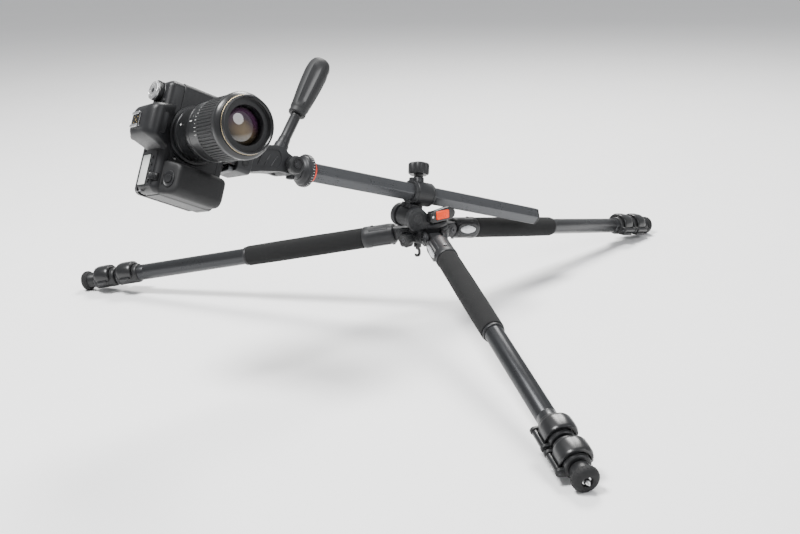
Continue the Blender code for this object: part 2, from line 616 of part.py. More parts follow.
ring_length = RING_TAIL + RING_HEAD
ring_middle = (RING_HEAD - RING_TAIL) / 2
column_clamp = cylinder("column_clamp", RING_RADIUS, ring_length, hinge, (AXIS_X, 0, ring_middle),
                        material="cast", sides=32)
knuckle_half = YOKE_INNER - GAP
arm = box("clamp_arm", (AXIS_X + 6 * MM, -knuckle_half, -13 * MM), (0, knuckle_half, RING_HEAD), hinge)
combine(column_clamp, arm, 'UNION')
hinge_knuckle = cylinder("hinge_knuckle", CLAMP_KNUCKLE, 2 * knuckle_half, hinge, (0, 0, 0), ALONG_Y,
                         sides=28)
combine(column_clamp, hinge_knuckle, 'UNION')
screw_turn = frame("clamp_screw", hinge, (AXIS_X, 0, -8 * MM), (0, 0, math.radians(KNOB_TURN)))
BOSS_REACH = 24 * MM
boss = cylinder("clamp_boss", 8.5 * MM, BOSS_REACH - 10 * MM, screw_turn, (BOSS_REACH / 2 + 5 * MM, 0, 0),
                ALONG_X, sides=24)
combine(column_clamp, boss, 'UNION')
tab = box("clamp_tab", (RING_RADIUS - 3 * MM, -5 * MM, 6 * MM),
          (RING_RADIUS + 4.5 * MM, 4 * MM, 16.5 * MM),
          screw_turn)
combine(column_clamp, tab, 'UNION')
column_bore = extruded("column_bore", hexagon(COLUMN_FLATS + 2 * GAP, HEX_TURN), ring_length + 20 * MM,
                       hinge,
                       (AXIS_X, 0, ring_middle))
combine(column_clamp, column_bore)
pin_bore = cylinder("hinge_pin_bore", HINGE_PIN_RADIUS + GAP, 2 * knuckle_half + 4 * MM, hinge, (0, 0, 0),
                    ALONG_Y, sides=14)
combine(column_clamp, pin_bore)
SCREW_RADIUS = 3.5 * MM
SCREW_PLAY = 1.9 * MM         # the bore starts this far inside the screw's end
screw_end = COLUMN_FLATS / 2 + 3 * MM
bore_start = screw_end - SCREW_PLAY
bore_end = BOSS_REACH + 10 * MM
screw_bore = cylinder("screw_bore", SCREW_RADIUS + GAP, bore_end - bore_start, screw_turn,
                      ((bore_start + bore_end) / 2, 0, 0), ALONG_X, sides=16)
combine(column_clamp, screw_bore)

clamp_knob = extruded("clamp_knob", lobed_outline(15 * MM, 2 * MM, 5, 30), 17 * MM, screw_turn,
                      (BOSS_REACH + 12.5 * MM, 0, 0), ALONG_X, "plastic", bevel=3.2 * MM)
knob_neck = cylinder("clamp_knob_neck", 7 * MM, 6 * MM, screw_turn, (BOSS_REACH + GAP + 3 * MM, 0, 0),
                     ALONG_X,
                     sides=24)
combine(clamp_knob, knob_neck, 'UNION')
knob_screw = cylinder("clamp_knob_screw", SCREW_RADIUS, BOSS_REACH + 3 * MM - screw_end, screw_turn,
                      ((BOSS_REACH + 3 * MM + screw_end) / 2, 0, 0), ALONG_X, sides=16)
combine(clamp_knob, knob_screw, 'UNION')

column = extruded("column", hexagon(COLUMN_FLATS, HEX_TURN), COLUMN_TAIL + COLUMN_HEAD, hinge,
                  (AXIS_X, 0, (COLUMN_HEAD - COLUMN_TAIL) / 2), material="tube")
column_hollow = extruded("column_hollow", hexagon(COLUMN_FLATS - 2 * COLUMN_WALL, HEX_TURN),
                         COLUMN_TAIL + COLUMN_HEAD + 10 * MM, hinge,
                         (AXIS_X, 0, (COLUMN_HEAD - COLUMN_TAIL) / 2))
combine(column, column_hollow)
CAP_THICKNESS = 3 * MM
column_cap = extruded("column_cap", hexagon(COLUMN_FLATS, HEX_TURN), CAP_THICKNESS, hinge,
                      (AXIS_X, 0, -COLUMN_TAIL - GAP - CAP_THICKNESS / 2), material="plastic",
                      bevel=1 * MM)
cap_plug = extruded("cap_plug", hexagon(COLUMN_FLATS - 2 * COLUMN_WALL - 2 * GAP, HEX_TURN), 12 * MM,
                    hinge,
                    (AXIS_X, 0, -COLUMN_TAIL + 5 * MM))
combine(column_cap, cap_plug, 'UNION')
friction_ring = turned("friction_ring", [(0, FRICTION_RING), (15.6 * MM, FRICTION_RING),
                                         (16.6 * MM, FRICTION_RING - 1 * MM), (16.6 * MM, 1 * MM),
                                         (15.6 * MM, 0), (0, 0)],
                       hinge, (AXIS_X, 0, COLUMN_HEAD + GAP), material="orange", sides=28)


# ---------------------------------------------------------------- pan and tilt head

head_start = COLUMN_HEAD + 2 * GAP + FRICTION_RING
head = frame("head", hinge, (AXIS_X, 0, head_start), (0, 0, math.radians(HEAD_TURN)))
pan_base = turned("pan_base", [(0, PAN_HEIGHT), (14 * MM, PAN_HEIGHT), (17 * MM, 12 * MM),
                               (20.5 * MM, 10.5 * MM),
                               (21 * MM, 8 * MM), (PAN_RADIUS - 0.8 * MM, 7.6 * MM),
                               (PAN_RADIUS, 6.5 * MM),
                               (PAN_RADIUS, 1.5 * MM), (PAN_RADIUS - 1.5 * MM, 0), (0, 0)],
                  head, material="cast", sides=28)
head_body = cylinder("head_body", 12.5 * MM, TILT_HEIGHT - PAN_HEIGHT - GAP, head,
                     (0, 0, (TILT_HEIGHT + PAN_HEIGHT + GAP) / 2), material="cast", sides=20)
barrel = cylinder("tilt_barrel", BARREL_RADIUS, 2 * BARREL_HALF, head, (0, 0, TILT_HEIGHT), ALONG_Y,
                  sides=20)
combine(head_body, barrel, 'UNION')
TILT_PIN_RADIUS = 4 * MM
pin_length = 2 * (BARREL_HALF + GAP + ARM_WIDTH) - 1 * MM
tilt_pin = cylinder("tilt_pin", TILT_PIN_RADIUS, pin_length, head, (0, 0, TILT_HEIGHT), ALONG_Y, sides=12)
combine(head_body, tilt_pin, 'UNION')

tilt = frame("tilt", head, (0, 0, TILT_HEIGHT), (0, math.radians(TILT_TURN), 0))
arm_inner = BARREL_HALF + GAP
arm_outer = arm_inner + ARM_WIDTH
ARM_RADIUS = 12.5 * MM
block_low = BARREL_RADIUS + 2.5 * MM
arm_outline = (arc((0, 0), ARM_RADIUS, 180, 360, 10)
               + [(ARM_RADIUS, 8 * MM), (20 * MM, 16 * MM), (20 * MM, 34 * MM),
                  (PLATFORM_SHIFT + 22 * MM, PLATFORM_RISE - GAP),
                  (PLATFORM_SHIFT - 20 * MM, PLATFORM_RISE - GAP),
                  (-20 * MM, 34 * MM), (-ARM_RADIUS, 14 * MM)])
tilt_block = extruded("tilt_block", arm_outline, 2 * arm_outer, tilt, rotation=ALONG_FRONT,
                      material="cast",
                      bevel=1.5 * MM)
barrel_room = box("barrel_room", (-40 * MM, -arm_inner, -40 * MM), (40 * MM, arm_inner, block_low), tilt)
combine(tilt_block, barrel_room)
tilt_bore = cylinder("tilt_bore", TILT_PIN_RADIUS + GAP, 3 * arm_outer, tilt, (0, 0, 0), ALONG_Y,
                     sides=12)
combine(tilt_block, tilt_bore)

tilt_knob = turned("tilt_knob", [(0, 12.5 * MM), (5 * MM, 12.5 * MM), (5.5 * MM, 11.8 * MM),
                                 (8.5 * MM, 11.8 * MM),
                                 (9 * MM, 12.5 * MM), (10.5 * MM, 12.5 * MM), (12.5 * MM, 10.5 * MM),
                                 (12.5 * MM, 2 * MM), (11 * MM, 0), (0, 0)],
                   head, (0, -arm_outer - GAP, TILT_HEIGHT), ALONG_FRONT, "plastic", sides=24)

# the handle's rod starts in the side of the tilting block
handle = frame("handle", tilt, (17 * MM, 0, 13.4 * MM), (0, math.radians(90 + HANDLE_DROP), 0))
seat = frame("platform_seat", tilt, (PLATFORM_SHIFT, 0, PLATFORM_RISE))
rod_collar = cylinder("handle_socket", 10 * MM, 14 * MM, handle, (0, 0, 6 * MM), sides=20)
combine(tilt_block, rod_collar, 'UNION')
rod_hole = cylinder("handle_hole", HANDLE_RADIUS + GAP, 20 * MM, handle, (0, 0, 13 * MM), sides=20)
combine(tilt_block, rod_hole)
ROD_END = HANDLE_GRIP_START + 60 * MM
handle_rod = turned("handle_rod", [(0, ROD_END), (5 * MM, ROD_END), (5 * MM, HANDLE_GRIP_START + 2 * MM),
                                   (HANDLE_RADIUS, HANDLE_GRIP_START - GAP),
                                   (HANDLE_RADIUS, 3 * MM + GAP), (0, 3 * MM + GAP)],
                    handle, material="tube", sides=20)
g = HANDLE_GRIP_LENGTH
handle_grip = turned("handle_grip",
                     [(0, g), (8 * MM, g), (14 * MM, g - 3 * MM), (16.8 * MM, g - 11 * MM),
                      (17.4 * MM, g - 26 * MM),
                      (15.8 * MM, g - 52 * MM), (13.6 * MM, g - 80 * MM), (12.6 * MM, 3 * MM),
                      (11.6 * MM, 0),
                      (HANDLE_RADIUS + GAP, 0), (5 * MM + RUN, 4.5 * MM), (5 * MM + RUN, 61 * MM),
                      (0, 61 * MM)],
                     handle, (0, 0, HANDLE_GRIP_START), material="rubber", sides=20)

platform = extruded("platform", rounded_outline((-26 * MM, -30 * MM), (26 * MM, 30 * MM), 6 * MM),
                    PLATFORM_THICKNESS, seat, (0, 0, PLATFORM_THICKNESS / 2),
                    material="cast", bevel=1 * MM)
lip = box("platform_lip", (20 * MM, -26 * MM, PLATFORM_THICKNESS / 2),
          (26 * MM, 26 * MM, PLATFORM_THICKNESS + 5 * MM), seat)
combine(platform, lip, 'UNION')
plate_low = PLATFORM_THICKNESS + GAP
camera_plate = extruded("camera_plate", rounded_outline((-19.5 * MM, -26 * MM), (19.5 * MM, 26 * MM),
                                                        3 * MM),
                        PLATE_THICKNESS - GAP, seat, (0, 0, plate_low + (PLATE_THICKNESS - GAP) / 2),
                        material="plastic", bevel=1 * MM)
# the plate lever turns on a pin at the platform's open side
LEVER_PIVOT = (-24.3 * MM, -19 * MM)
lever_height = 7 * MM
plate_lever = extruded("plate_lever",
                       arc((0, 0), 4.2 * MM, 60, 300, 8)
                       + [(8 * MM, -3 * MM), (30 * MM, 1 * MM)]
                       + arc((32 * MM, 4.5 * MM), 3.5 * MM, -80, 80, 6) + [(8 * MM, 4.5 * MM)],
                       lever_height, seat, (LEVER_PIVOT[0], LEVER_PIVOT[1],
                                            plate_low + lever_height / 2 + 0.5 * MM),
                       (0, 0, math.radians(90)), "silver", bevel=1 * MM)


# ---------------------------------------------------------------- camera

camera = frame("camera", seat, (0, 0, plate_low + PLATE_THICKNESS))
front, back = -BODY_FRONT, BODY_BACK
grip_x = -GRIP_REACH + 44 * MM

body_shell = extruded("body_shell", rounded_outline((-GRIP_REACH, front), (DIAL_REACH, back), 9 * MM),
                      SEAM_HEIGHT, camera, (0, 0, SEAM_HEIGHT / 2), material="body", bevel=2 * MM)
SWELL_RADIUS = 38 * MM
mount_swell = cylinder("mount_swell", SWELL_RADIUS, 12 * MM, camera, (0, front + 2 * MM, LENS_HEIGHT),
                       ALONG_Y,
                       sides=32)
combine(body_shell, mount_swell, 'UNION')
mirror_box = box("mirror_box", (-19 * MM, front - 10 * MM, LENS_HEIGHT - 17 * MM),
                 (19 * MM, back - 10 * MM, LENS_HEIGHT + 17 * MM), camera)
combine(body_shell, mirror_box)
mount_hole = cylinder("mount_hole", LENS_BORE, 12 * MM, camera, (0, front - 5 * MM, LENS_HEIGHT),
                      ALONG_Y, sides=32)
combine(body_shell, mount_hole)
BATTERY = ((-80 * MM, -17 * MM, 0), (-60 * MM, 18 * MM, 56 * MM))
battery_room = box("battery_room", (BATTERY[0][0] - GAP, BATTERY[0][1] - GAP, -5 * MM),
                   (BATTERY[1][0] + GAP, BATTERY[1][1] + GAP, BATTERY[1][2] + GAP), camera)
combine(body_shell, battery_room)
battery = box("battery", (BATTERY[0][0], BATTERY[0][1], 0.5 * MM), BATTERY[1], camera, "plastic",
              bevel=1 * MM)

# the mirror hangs from a hinge line at the top rear of its box, at 45 degrees
mirror_hinge = frame("mirror_hinge", camera, (0, back - 12.5 * MM, LENS_HEIGHT + 14.5 * MM),
                     (math.radians(45), 0, 0))
mirror = box("mirror", (-17.5 * MM, -30 * MM, -1 * MM), (17.5 * MM, 0, 0.6 * MM), mirror_hinge, "glass")

hump_half = 27 * MM
top_outline = ([(-GRIP_REACH + 1 * MM, SEAM_HEIGHT + GAP), (DIAL_REACH - 1 * MM, SEAM_HEIGHT + GAP)]
               + arc((DIAL_REACH - 9 * MM, DIAL_SHOULDER - 8 * MM), 8 * MM, 0, 90, 5)
               + [(hump_half + 2 * MM, DIAL_SHOULDER), (hump_half - 4 * MM, BODY_HEIGHT - 6 * MM)]
               + [(hump_half - 12 * MM, BODY_HEIGHT - 1 * MM),
                  (-hump_half + 12 * MM, BODY_HEIGHT - 1 * MM)]
               + [(-hump_half + 4 * MM, BODY_HEIGHT - 6 * MM), (-hump_half - 2 * MM, SHOULDER_HEIGHT)]
               + arc((-GRIP_REACH + 9 * MM, SHOULDER_HEIGHT - 8 * MM), 8 * MM, 90, 180, 5))
top_cover = extruded("top_cover", top_outline, back - front, camera, (0, (front + back) / 2, 0),
                     ALONG_FRONT,
                     "body", bevel=2.5 * MM)
brow = extruded("prism_brow", [(-22 * MM, SHOULDER_HEIGHT), (22 * MM, SHOULDER_HEIGHT),
                               (17 * MM, BODY_HEIGHT - 8 * MM),
                               (-17 * MM, BODY_HEIGHT - 8 * MM)], 14 * MM, camera, (0, front - 4 * MM, 0),
                ALONG_FRONT, bevel=4 * MM)
combine(top_cover, brow, 'UNION')
swell_room = cylinder("swell_room", SWELL_RADIUS + GAP, 24 * MM + 2 * GAP, camera,
                      (0, front - 4 * MM, LENS_HEIGHT), ALONG_Y, sides=32)
combine(top_cover, swell_room)
hot_shoe = extruded("hot_shoe", [(-10 * MM, 0), (10 * MM, 0), (10 * MM, 3.6 * MM), (6.5 * MM, 3.6 * MM),
                                 (6.5 * MM, 2.6 * MM), (8.8 * MM, 2.6 * MM), (8.8 * MM, 1 * MM),
                                 (-8.8 * MM, 1 * MM), (-8.8 * MM, 2.6 * MM), (-6.5 * MM, 2.6 * MM),
                                 (-6.5 * MM, 3.6 * MM), (-10 * MM, 3.6 * MM)], 18 * MM, camera,
                    (0, 4 * MM, BODY_HEIGHT - 1 * MM + GAP), ALONG_FRONT, "steel")

cover_back = back + COVER_THICKNESS
rear_cover = extruded("rear_cover", rounded_outline((-GRIP_REACH + 1 * MM, 1 * MM),
                                                    (DIAL_REACH - 1 * MM, SHOULDER_HEIGHT - 2 * MM),
                                                    7 * MM),
                      COVER_THICKNESS - GAP, camera, (0, (back + GAP + cover_back) / 2, 0), ALONG_FRONT,
                      "body", bevel=2 * MM)
eyepiece = box("eyepiece", (-17 * MM, back + 4 * MM, SHOULDER_HEIGHT - 10 * MM),
               (17 * MM, cover_back + 8 * MM, SHOULDER_HEIGHT + 16 * MM), camera, bevel=3 * MM)
eyepiece_floor = box("eyepiece_floor", (-40 * MM, 0, SHOULDER_HEIGHT - 4 * MM),
                     (40 * MM, back + GAP, BODY_HEIGHT), camera)
combine(rear_cover, eyepiece, 'UNION')
combine(rear_cover, eyepiece_floor)

# the hand grip is a rounded bulge on the front of the battery side
grip_front = front - 27 * MM
grip_outline = (arc((-GRIP_REACH + 12 * MM, grip_front + 12 * MM), 12 * MM, 180, 270, 6)
                + arc((grip_x - 12 * MM, grip_front + 9 * MM), 9 * MM, 270, 345, 5)
                + [(grip_x, front - GAP), (-GRIP_REACH, front - GAP)])
GRIP_TOP = 82 * MM
hand_grip = extruded("hand_grip", grip_outline, GRIP_TOP - 3 * MM, camera,
                     (0, 0, (GRIP_TOP + 3 * MM) / 2),
                     material="rubber", bevel=3 * MM)
grip_slope = box("grip_slope", (-GRIP_REACH - 20 * MM, grip_front - 16 * MM, GRIP_TOP - 3 * MM),
                 (grip_x + 10 * MM, grip_front + 24 * MM, GRIP_TOP + 22 * MM), camera,
                 rotation=(math.radians(24), 0, 0))
combine(hand_grip, grip_slope)
BUTTON_RADIUS = 5 * MM
button_seat = frame("shutter_seat", camera, (-GRIP_REACH + 19 * MM, grip_front + 13 * MM,
                                             GRIP_TOP - 4.4 * MM),
                    (math.radians(24), 0, 0))
button_room = cylinder("shutter_room", BUTTON_RADIUS + GAP, 12 * MM, button_seat, (0, 0, 0), sides=24)
combine(hand_grip, button_room)
shutter_button = turned("shutter_button", [(0, 1.6 * MM), (3 * MM, 1.6 * MM), (BUTTON_RADIUS, 1 * MM),
                                           (BUTTON_RADIUS, -3 * MM), (0, -3 * MM)],
                        button_seat, material="steel", sides=24)

WHEEL_RADIUS = 7.5 * MM
wheel_centre = (-GRIP_REACH + 20 * MM, front + 9 * MM, SHOULDER_HEIGHT - 3.5 * MM)
wheel_room = box("wheel_room", (wheel_centre[0] - 5 * MM, wheel_centre[1] - WHEEL_RADIUS - RUN,
                                wheel_centre[2] - WHEEL_RADIUS - RUN),
                 (wheel_centre[0] + 5 * MM, wheel_centre[1] + WHEEL_RADIUS + RUN, BODY_HEIGHT), camera)
combine(top_cover, wheel_room)
control_dial = extruded("control_dial", lobed_outline(WHEEL_RADIUS, 0.5 * MM, 20, 40), 8.8 * MM, camera,
                        wheel_centre, ALONG_X, "plastic")
DIAL_HEIGHT = 11 * MM
DIAL_SIDE = 18 * MM
mode_dial = turned("mode_dial", [(0, DIAL_HEIGHT), (DIAL_RADIUS - 1 * MM, DIAL_HEIGHT),
                                 (DIAL_RADIUS, DIAL_HEIGHT - 1 * MM), (DIAL_RADIUS, 0), (0, 0)],
                   camera, (DIAL_REACH - DIAL_SIDE, 2 * MM, DIAL_SHOULDER + GAP), material="plastic",
                   sides=32)

# lens: a turned barrel with a free focusing sleeve, and the front glass inside its rim
lens = frame("lens", camera, (0, front - 4 * MM - GAP, LENS_HEIGHT), ALONG_FRONT)
n = LENS_LENGTH
core = FOCUS_RADIUS - 3.6 * MM
focus_end = FOCUS_START + FOCUS_LENGTH
lens_barrel = turned("lens_barrel",
                     [(RIM_RADIUS - 2.5 * MM, n), (RIM_RADIUS, n), (RIM_RADIUS, n - 8 * MM),
                      (FLANGE_RADIUS - 1.5 * MM, n - 10 * MM), (FLANGE_RADIUS, n - 12 * MM),
                      (FLANGE_RADIUS, focus_end + GAP), (core, focus_end + GAP),
                      (core, FOCUS_START - GAP),
                      (BARREL_RADII[1], FOCUS_START - GAP), (BARREL_RADII[1], 38 * MM),
                      (BARREL_RADII[0], 32 * MM),
                      (BARREL_RADII[0], 5 * MM), (LENS_BORE + 6 * MM, 0), (LENS_BORE - 3 * MM, 0),
                      (LENS_BORE - 3 * MM, n - 24 * MM), (24.5 * MM, n - 20 * MM),
                      (24.5 * MM, n - 13 * MM),
                      (RIM_RADIUS - 2.5 * MM, n - 7 * MM)],
                     lens, material="plastic", sides=28)
focus_ring = turned("focus_ring", [(core + GAP, focus_end), (FOCUS_RADIUS - 0.7 * MM, focus_end),
                                   (FOCUS_RADIUS, focus_end - 0.8 * MM),
                                   (FOCUS_RADIUS, FOCUS_START + 0.8 * MM),
                                   (FOCUS_RADIUS - 0.7 * MM, FOCUS_START), (core + GAP, FOCUS_START)],
                    lens, material="rubber", sides=28)
GLASS_RADIUS = 24.5 * MM - GAP
front_lens = turned("front_lens", [(0, n - 11 * MM), (9 * MM, n - 11.8 * MM), (17 * MM, n - 14 * MM),
                                   (GLASS_RADIUS, n - 17 * MM), (GLASS_RADIUS, n - 19.5 * MM),
                                   (0, n - 19.5 * MM)],
                    lens, material="glass", sides=28)


# ---------------------------------------------------------------- floor under the feet

bpy.context.view_layer.update()
depsgraph = bpy.context.evaluated_depsgraph_get()
low = Vector((math.inf,) * 3)
high = Vector((-math.inf,) * 3)
for piece in parts.objects:
    if piece.type != 'MESH':
        continue
    evaluated = piece.evaluated_get(depsgraph)
    for vertex in evaluated.data.vertices:
        point = evaluated.matrix_world @ vertex.co
        low = Vector(map(min, low, point))
        high = Vector(map(max, high, point))
root.location = (-(low.x + high.x) / 2, -(low.y + high.y) / 2, -low.z)
bpy.context.view_layer.update()
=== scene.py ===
import json
from math import copysign, cos, pi, radians, sin, sqrt, tan
import bmesh
import bpy
from mathutils import Euler, Matrix, Vector


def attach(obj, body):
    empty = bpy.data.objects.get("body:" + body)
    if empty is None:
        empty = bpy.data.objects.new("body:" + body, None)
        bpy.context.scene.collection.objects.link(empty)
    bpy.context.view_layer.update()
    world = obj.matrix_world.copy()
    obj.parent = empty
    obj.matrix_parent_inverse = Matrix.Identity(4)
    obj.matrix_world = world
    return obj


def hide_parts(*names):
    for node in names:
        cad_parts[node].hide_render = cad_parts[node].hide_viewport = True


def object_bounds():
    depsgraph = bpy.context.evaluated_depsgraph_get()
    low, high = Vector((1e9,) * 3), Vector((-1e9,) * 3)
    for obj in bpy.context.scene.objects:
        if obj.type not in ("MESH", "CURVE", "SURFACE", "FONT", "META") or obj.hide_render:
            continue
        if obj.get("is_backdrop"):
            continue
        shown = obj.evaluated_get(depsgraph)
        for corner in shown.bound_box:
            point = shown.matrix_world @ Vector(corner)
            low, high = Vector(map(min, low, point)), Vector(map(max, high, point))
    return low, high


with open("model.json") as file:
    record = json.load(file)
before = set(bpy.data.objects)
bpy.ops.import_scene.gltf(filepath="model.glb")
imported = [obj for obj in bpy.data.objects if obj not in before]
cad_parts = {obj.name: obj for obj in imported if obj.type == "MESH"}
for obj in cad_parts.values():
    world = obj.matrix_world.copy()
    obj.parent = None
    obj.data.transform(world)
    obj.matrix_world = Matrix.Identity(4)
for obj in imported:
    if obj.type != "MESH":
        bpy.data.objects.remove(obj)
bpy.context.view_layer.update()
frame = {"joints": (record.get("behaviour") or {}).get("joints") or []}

mm = 0.001
joints = {joint["name"]: joint for joint in frame["joints"]}
legNames = ("left", "right", "front")


# places: every piece is modelled in millimetres in the axes of the joint it belongs to

def spotOf(name):
    return Vector(joints[name]["pos_m"])


def wayOf(name):
    return Vector(joints[name]["axis"]).normalized()


def placeAt(origin, xWay, zWay):
    z = zWay.normalized()
    x = (xWay - z * xWay.dot(z)).normalized()
    place = Matrix((x, z.cross(x), z)).transposed().to_4x4()
    place.translation = origin
    return place


def moved(place, x=0.0, y=0.0, z=0.0, turn=(0, 0, 0)):
    step = Matrix.Translation((x * mm, y * mm, z * mm))
    return place @ step @ Euler([radians(a) for a in turn]).to_matrix().to_4x4()


def local(x=0.0, y=0.0, z=0.0, turn=(0, 0, 0)):
    return Matrix.Translation((x, y, z)) @ Euler([radians(a) for a in turn]).to_matrix().to_4x4()


def spun(angle):
    return local(turn=(0, 0, angle))


alongX = Matrix(((0, 0, 1, 0), (1, 0, 0, 0), (0, 1, 0, 0), (0, 0, 0, 1)))     # z to x, x to y
alongY = Matrix(((1, 0, 0, 0), (0, 0, 1, 0), (0, -1, 0, 0), (0, 0, 0, 1)))    # z to y, y to -z
facing = Matrix(((1, 0, 0, 0), (0, 0, -1, 0), (0, 1, 0, 0), (0, 0, 0, 1)))    # z to -y, y to z
backUp = Matrix(((1, 0, 0, 0), (0, 0, 1, 0), (0, 1, 0, 0), (0, 0, 0, 1)))     # z to y, y to z

up = Vector((0, 0, 1))
hub = spotOf("column_swivel")
hubAt = placeAt(hub, Vector((1, 0, 0)), up)
legAt = {}
for name in legNames:
    outward, sideways = wayOf(name + "_middle_slide"), wayOf(name + "_leg_spread")
    legAt[name] = placeAt(spotOf(name + "_leg_spread"), outward, outward.cross(sideways))
hingeWay = wayOf("column_tilt")
swivelAt = placeAt(hub, hingeWay.cross(up), up)
columnWay = wayOf("column_slide")
hingeAt = placeAt(spotOf("column_tilt"), hingeWay.cross(columnWay), columnWay)
columnAt = moved(hingeAt, x=-37)
lensWay = wayOf("head_tilt")
headAt = placeAt(spotOf("head_pan"), lensWay.cross(-columnWay), columnWay)
tiltUp = wayOf("plate_lever_open")
tiltAt = placeAt(spotOf("head_tilt"), lensWay.cross(-tiltUp), tiltUp)
seatAt = moved(tiltAt, x=-9.4, z=66)
handleWay = wayOf("handle_twist")
handleAt = placeAt(spotOf("handle_twist"), -lensWay.cross(handleWay), handleWay)
cameraUp = wayOf("mode_dial_turn")
cameraAt = moved(placeAt(spotOf("control_dial_turn"), wayOf("control_dial_turn"), cameraUp), x=66.5, y=13,
    z=-86.5)
lensAt = moved(placeAt(spotOf("focus_turn"), wayOf("control_dial_turn"), wayOf("focus_turn")), z=-66)


# shader building

class Wire:
    # a node's output that takes part in plain arithmetic
    def __init__(self, finish, socket):
        self.finish, self.socket = finish, socket

    def maths(self, operation, first, second):
        return self.finish.add("ShaderNodeMath", {"operation": operation}, {0: first, 1: second})

    def __add__(self, other):
        return self.maths("ADD", self, other)

    def __radd__(self, other):
        return self.maths("ADD", other, self)

    def __sub__(self, other):
        return self.maths("SUBTRACT", self, other)

    def __mul__(self, other):
        return self.maths("MULTIPLY", self, other)

    def __truediv__(self, other):
        return self.maths("DIVIDE", self, other)

    def __pow__(self, other):
        return self.maths("POWER", self, other)


class Finish:
    def __init__(self, name):
        self.material = bpy.data.materials.new(name)
        self.material.use_nodes = True
        self.tree = self.material.node_tree
        self.shader = self.tree.nodes["Principled BSDF"]

    def add(self, kind, settings=None, sockets=None, out=0):
        node = self.tree.nodes.new(kind)
        for key, value in (settings or {}).items():
            if key == "stops":
                ramp = node.color_ramp
                while len(ramp.elements) < len(value):
                    ramp.elements.new(0.5)
                for stop, (position, colour) in zip(ramp.elements, value):
                    stop.position, stop.color = position, (*colour, 1)
            else:
                setattr(node, key, value)
        for key, value in (sockets or {}).items():
            if isinstance(value, Wire):
                self.tree.links.new(value.socket, node.inputs[key])
            else:
                node.inputs[key].default_value = value
        return Wire(self, node.outputs[out])

    def coords(self, stretch=(1, 1, 1)):
        here = self.add("ShaderNodeTexCoord", out="Object")
        return self.add("ShaderNodeMapping", {}, {"Vector": here, "Scale": stretch})

    def noise(self, scale, detail, where=None):
        return self.add("ShaderNodeTexNoise", {}, {"Vector": where or self.coords(), "Scale": scale,
            "Detail": detail, "Roughness": 0.6})

    def cells(self, scale, feature):
        return self.add("ShaderNodeTexVoronoi", {"feature": feature},
            {"Vector": self.coords(), "Scale": scale}, out="Distance")

    def ramp(self, factor, stops):
        return self.add("ShaderNodeValToRGB", {"stops": stops}, {"Fac": factor})

    def step(self, value, low, high):
        # 0 below low, 1 above high
        return self.add("ShaderNodeMapRange", {"interpolation_type": "SMOOTHSTEP"},
            {"Value": value, "From Min": low, "From Max": high})

    def blend(self, factor, first, second):
        first, second = [(*c, 1) if isinstance(c, tuple) and len(c) == 3 else c for c in (first, second)]
        return self.add("ShaderNodeMix", {"data_type": "RGBA"}, {0: factor, 6: first, 7: second}, 2)

    def bump(self, height, distance, under=None):
        sockets = {"Height": height, "Distance": distance, "Strength": 1.0}
        if under:
            sockets["Normal"] = under
        return self.add("ShaderNodeBump", {}, sockets)

    def set(self, **values):
        for key, value in values.items():
            target = self.shader.inputs[key.replace("_", " ")]
            if isinstance(value, Wire):
                self.tree.links.new(value.socket, target)
            else:
                target.default_value = (*value, 1) if isinstance(value,
                    tuple) and len(value) == 3 else value


finishes = {}


def tinted(colour, factor):
    return tuple(min(1.0, c * factor) for c in colour)


def moulded(name, colour, rough, metal=0.0, grain=(900, 0.00004), patch=0.12, wear=0.25, dust=0.10,
        coat=0.0, draw=None, cells=None):
    # a worked surface: patches, fine grain, rubbed edges, a little dust, with draw lines or cells if asked;
    # the cells' pits are darkened with painted shade
    f = Finish(name)
    patches = f.noise(28, 5)
    fine = f.noise(grain[0], 3)
    tone = f.blend(patches, tinted(colour, 1 - patch), tinted(colour, 1 + patch))
    edge = f.step(f.add("ShaderNodeNewGeometry", out="Pointiness"), 0.54, 0.66)
    rubbed = edge * f.step(f.noise(160, 4), 0.4, 0.75) * (wear * 0.6)
    tone = f.blend(rubbed, tone, tinted(colour, 2.2))
    specks = f.step(f.noise(420, 6), 0.60, 0.78) * dust
    tone = f.blend(specks, tone, (0.10, 0.098, 0.095))
    height = fine
    roughness = rough + (patches - 0.5) * 0.16 + (fine - 0.5) * 0.10
    if draw:
        lines = f.noise(1.0, 3, f.coords(draw))
        height = height * 0.3 + lines
        roughness = roughness + (lines - 0.5) * 0.1
        tone = f.blend(lines, tone, f.blend(0.35, tone, tinted(colour, 1.3)))
    normal = f.bump(height, grain[1])
    if cells:
        size, depth, feature = cells
        pebble = f.cells(size, feature)
        normal = f.bump(pebble, depth, normal)
        # painted shade: the pits of the cells are darkened
        tone = f.blend(f.step(pebble, 0.0, 0.45), tinted(colour, 0.7), tone)
    f.set(Base_Color=tone, Roughness=roughness, Metallic=metal, Normal=normal, Specular_IOR_Level=0.32)
    if coat:
        f.set(Coat_Weight=coat, Coat_Roughness=0.25)
    finishes[name] = f.material


moulded("castGrey", (0.020, 0.0205, 0.022), 0.44, 0.15, grain=(1100, 0.00007), wear=0.35,
    cells=(1500, 0.00005, "F1"))
moulded("tubeGrey", (0.030, 0.031, 0.033), 0.30, 0.60, grain=(600, 0.000006), patch=0.06, wear=0.08,
    draw=(9, 900, 900))
moulded("columnGrey", (0.062, 0.064, 0.068), 0.30, 0.5, grain=(600, 0.000006), patch=0.05, wear=0.1,
    draw=(900, 900, 9))
moulded("foamBlack", (0.0085, 0.0087, 0.009), 0.95, grain=(1800, 0.0001), patch=0.2, wear=0.0, dust=0.16,
    cells=(1300, 0.00022, "SMOOTH_F1"))
moulded("leverBlack", (0.0105, 0.0108, 0.0115), 0.33, grain=(700, 0.00002), patch=0.08, wear=0.3, coat=0.15)
moulded("plasticBlack", (0.012, 0.0123, 0.013), 0.42, grain=(1200, 0.00005), patch=0.10, wear=0.3)
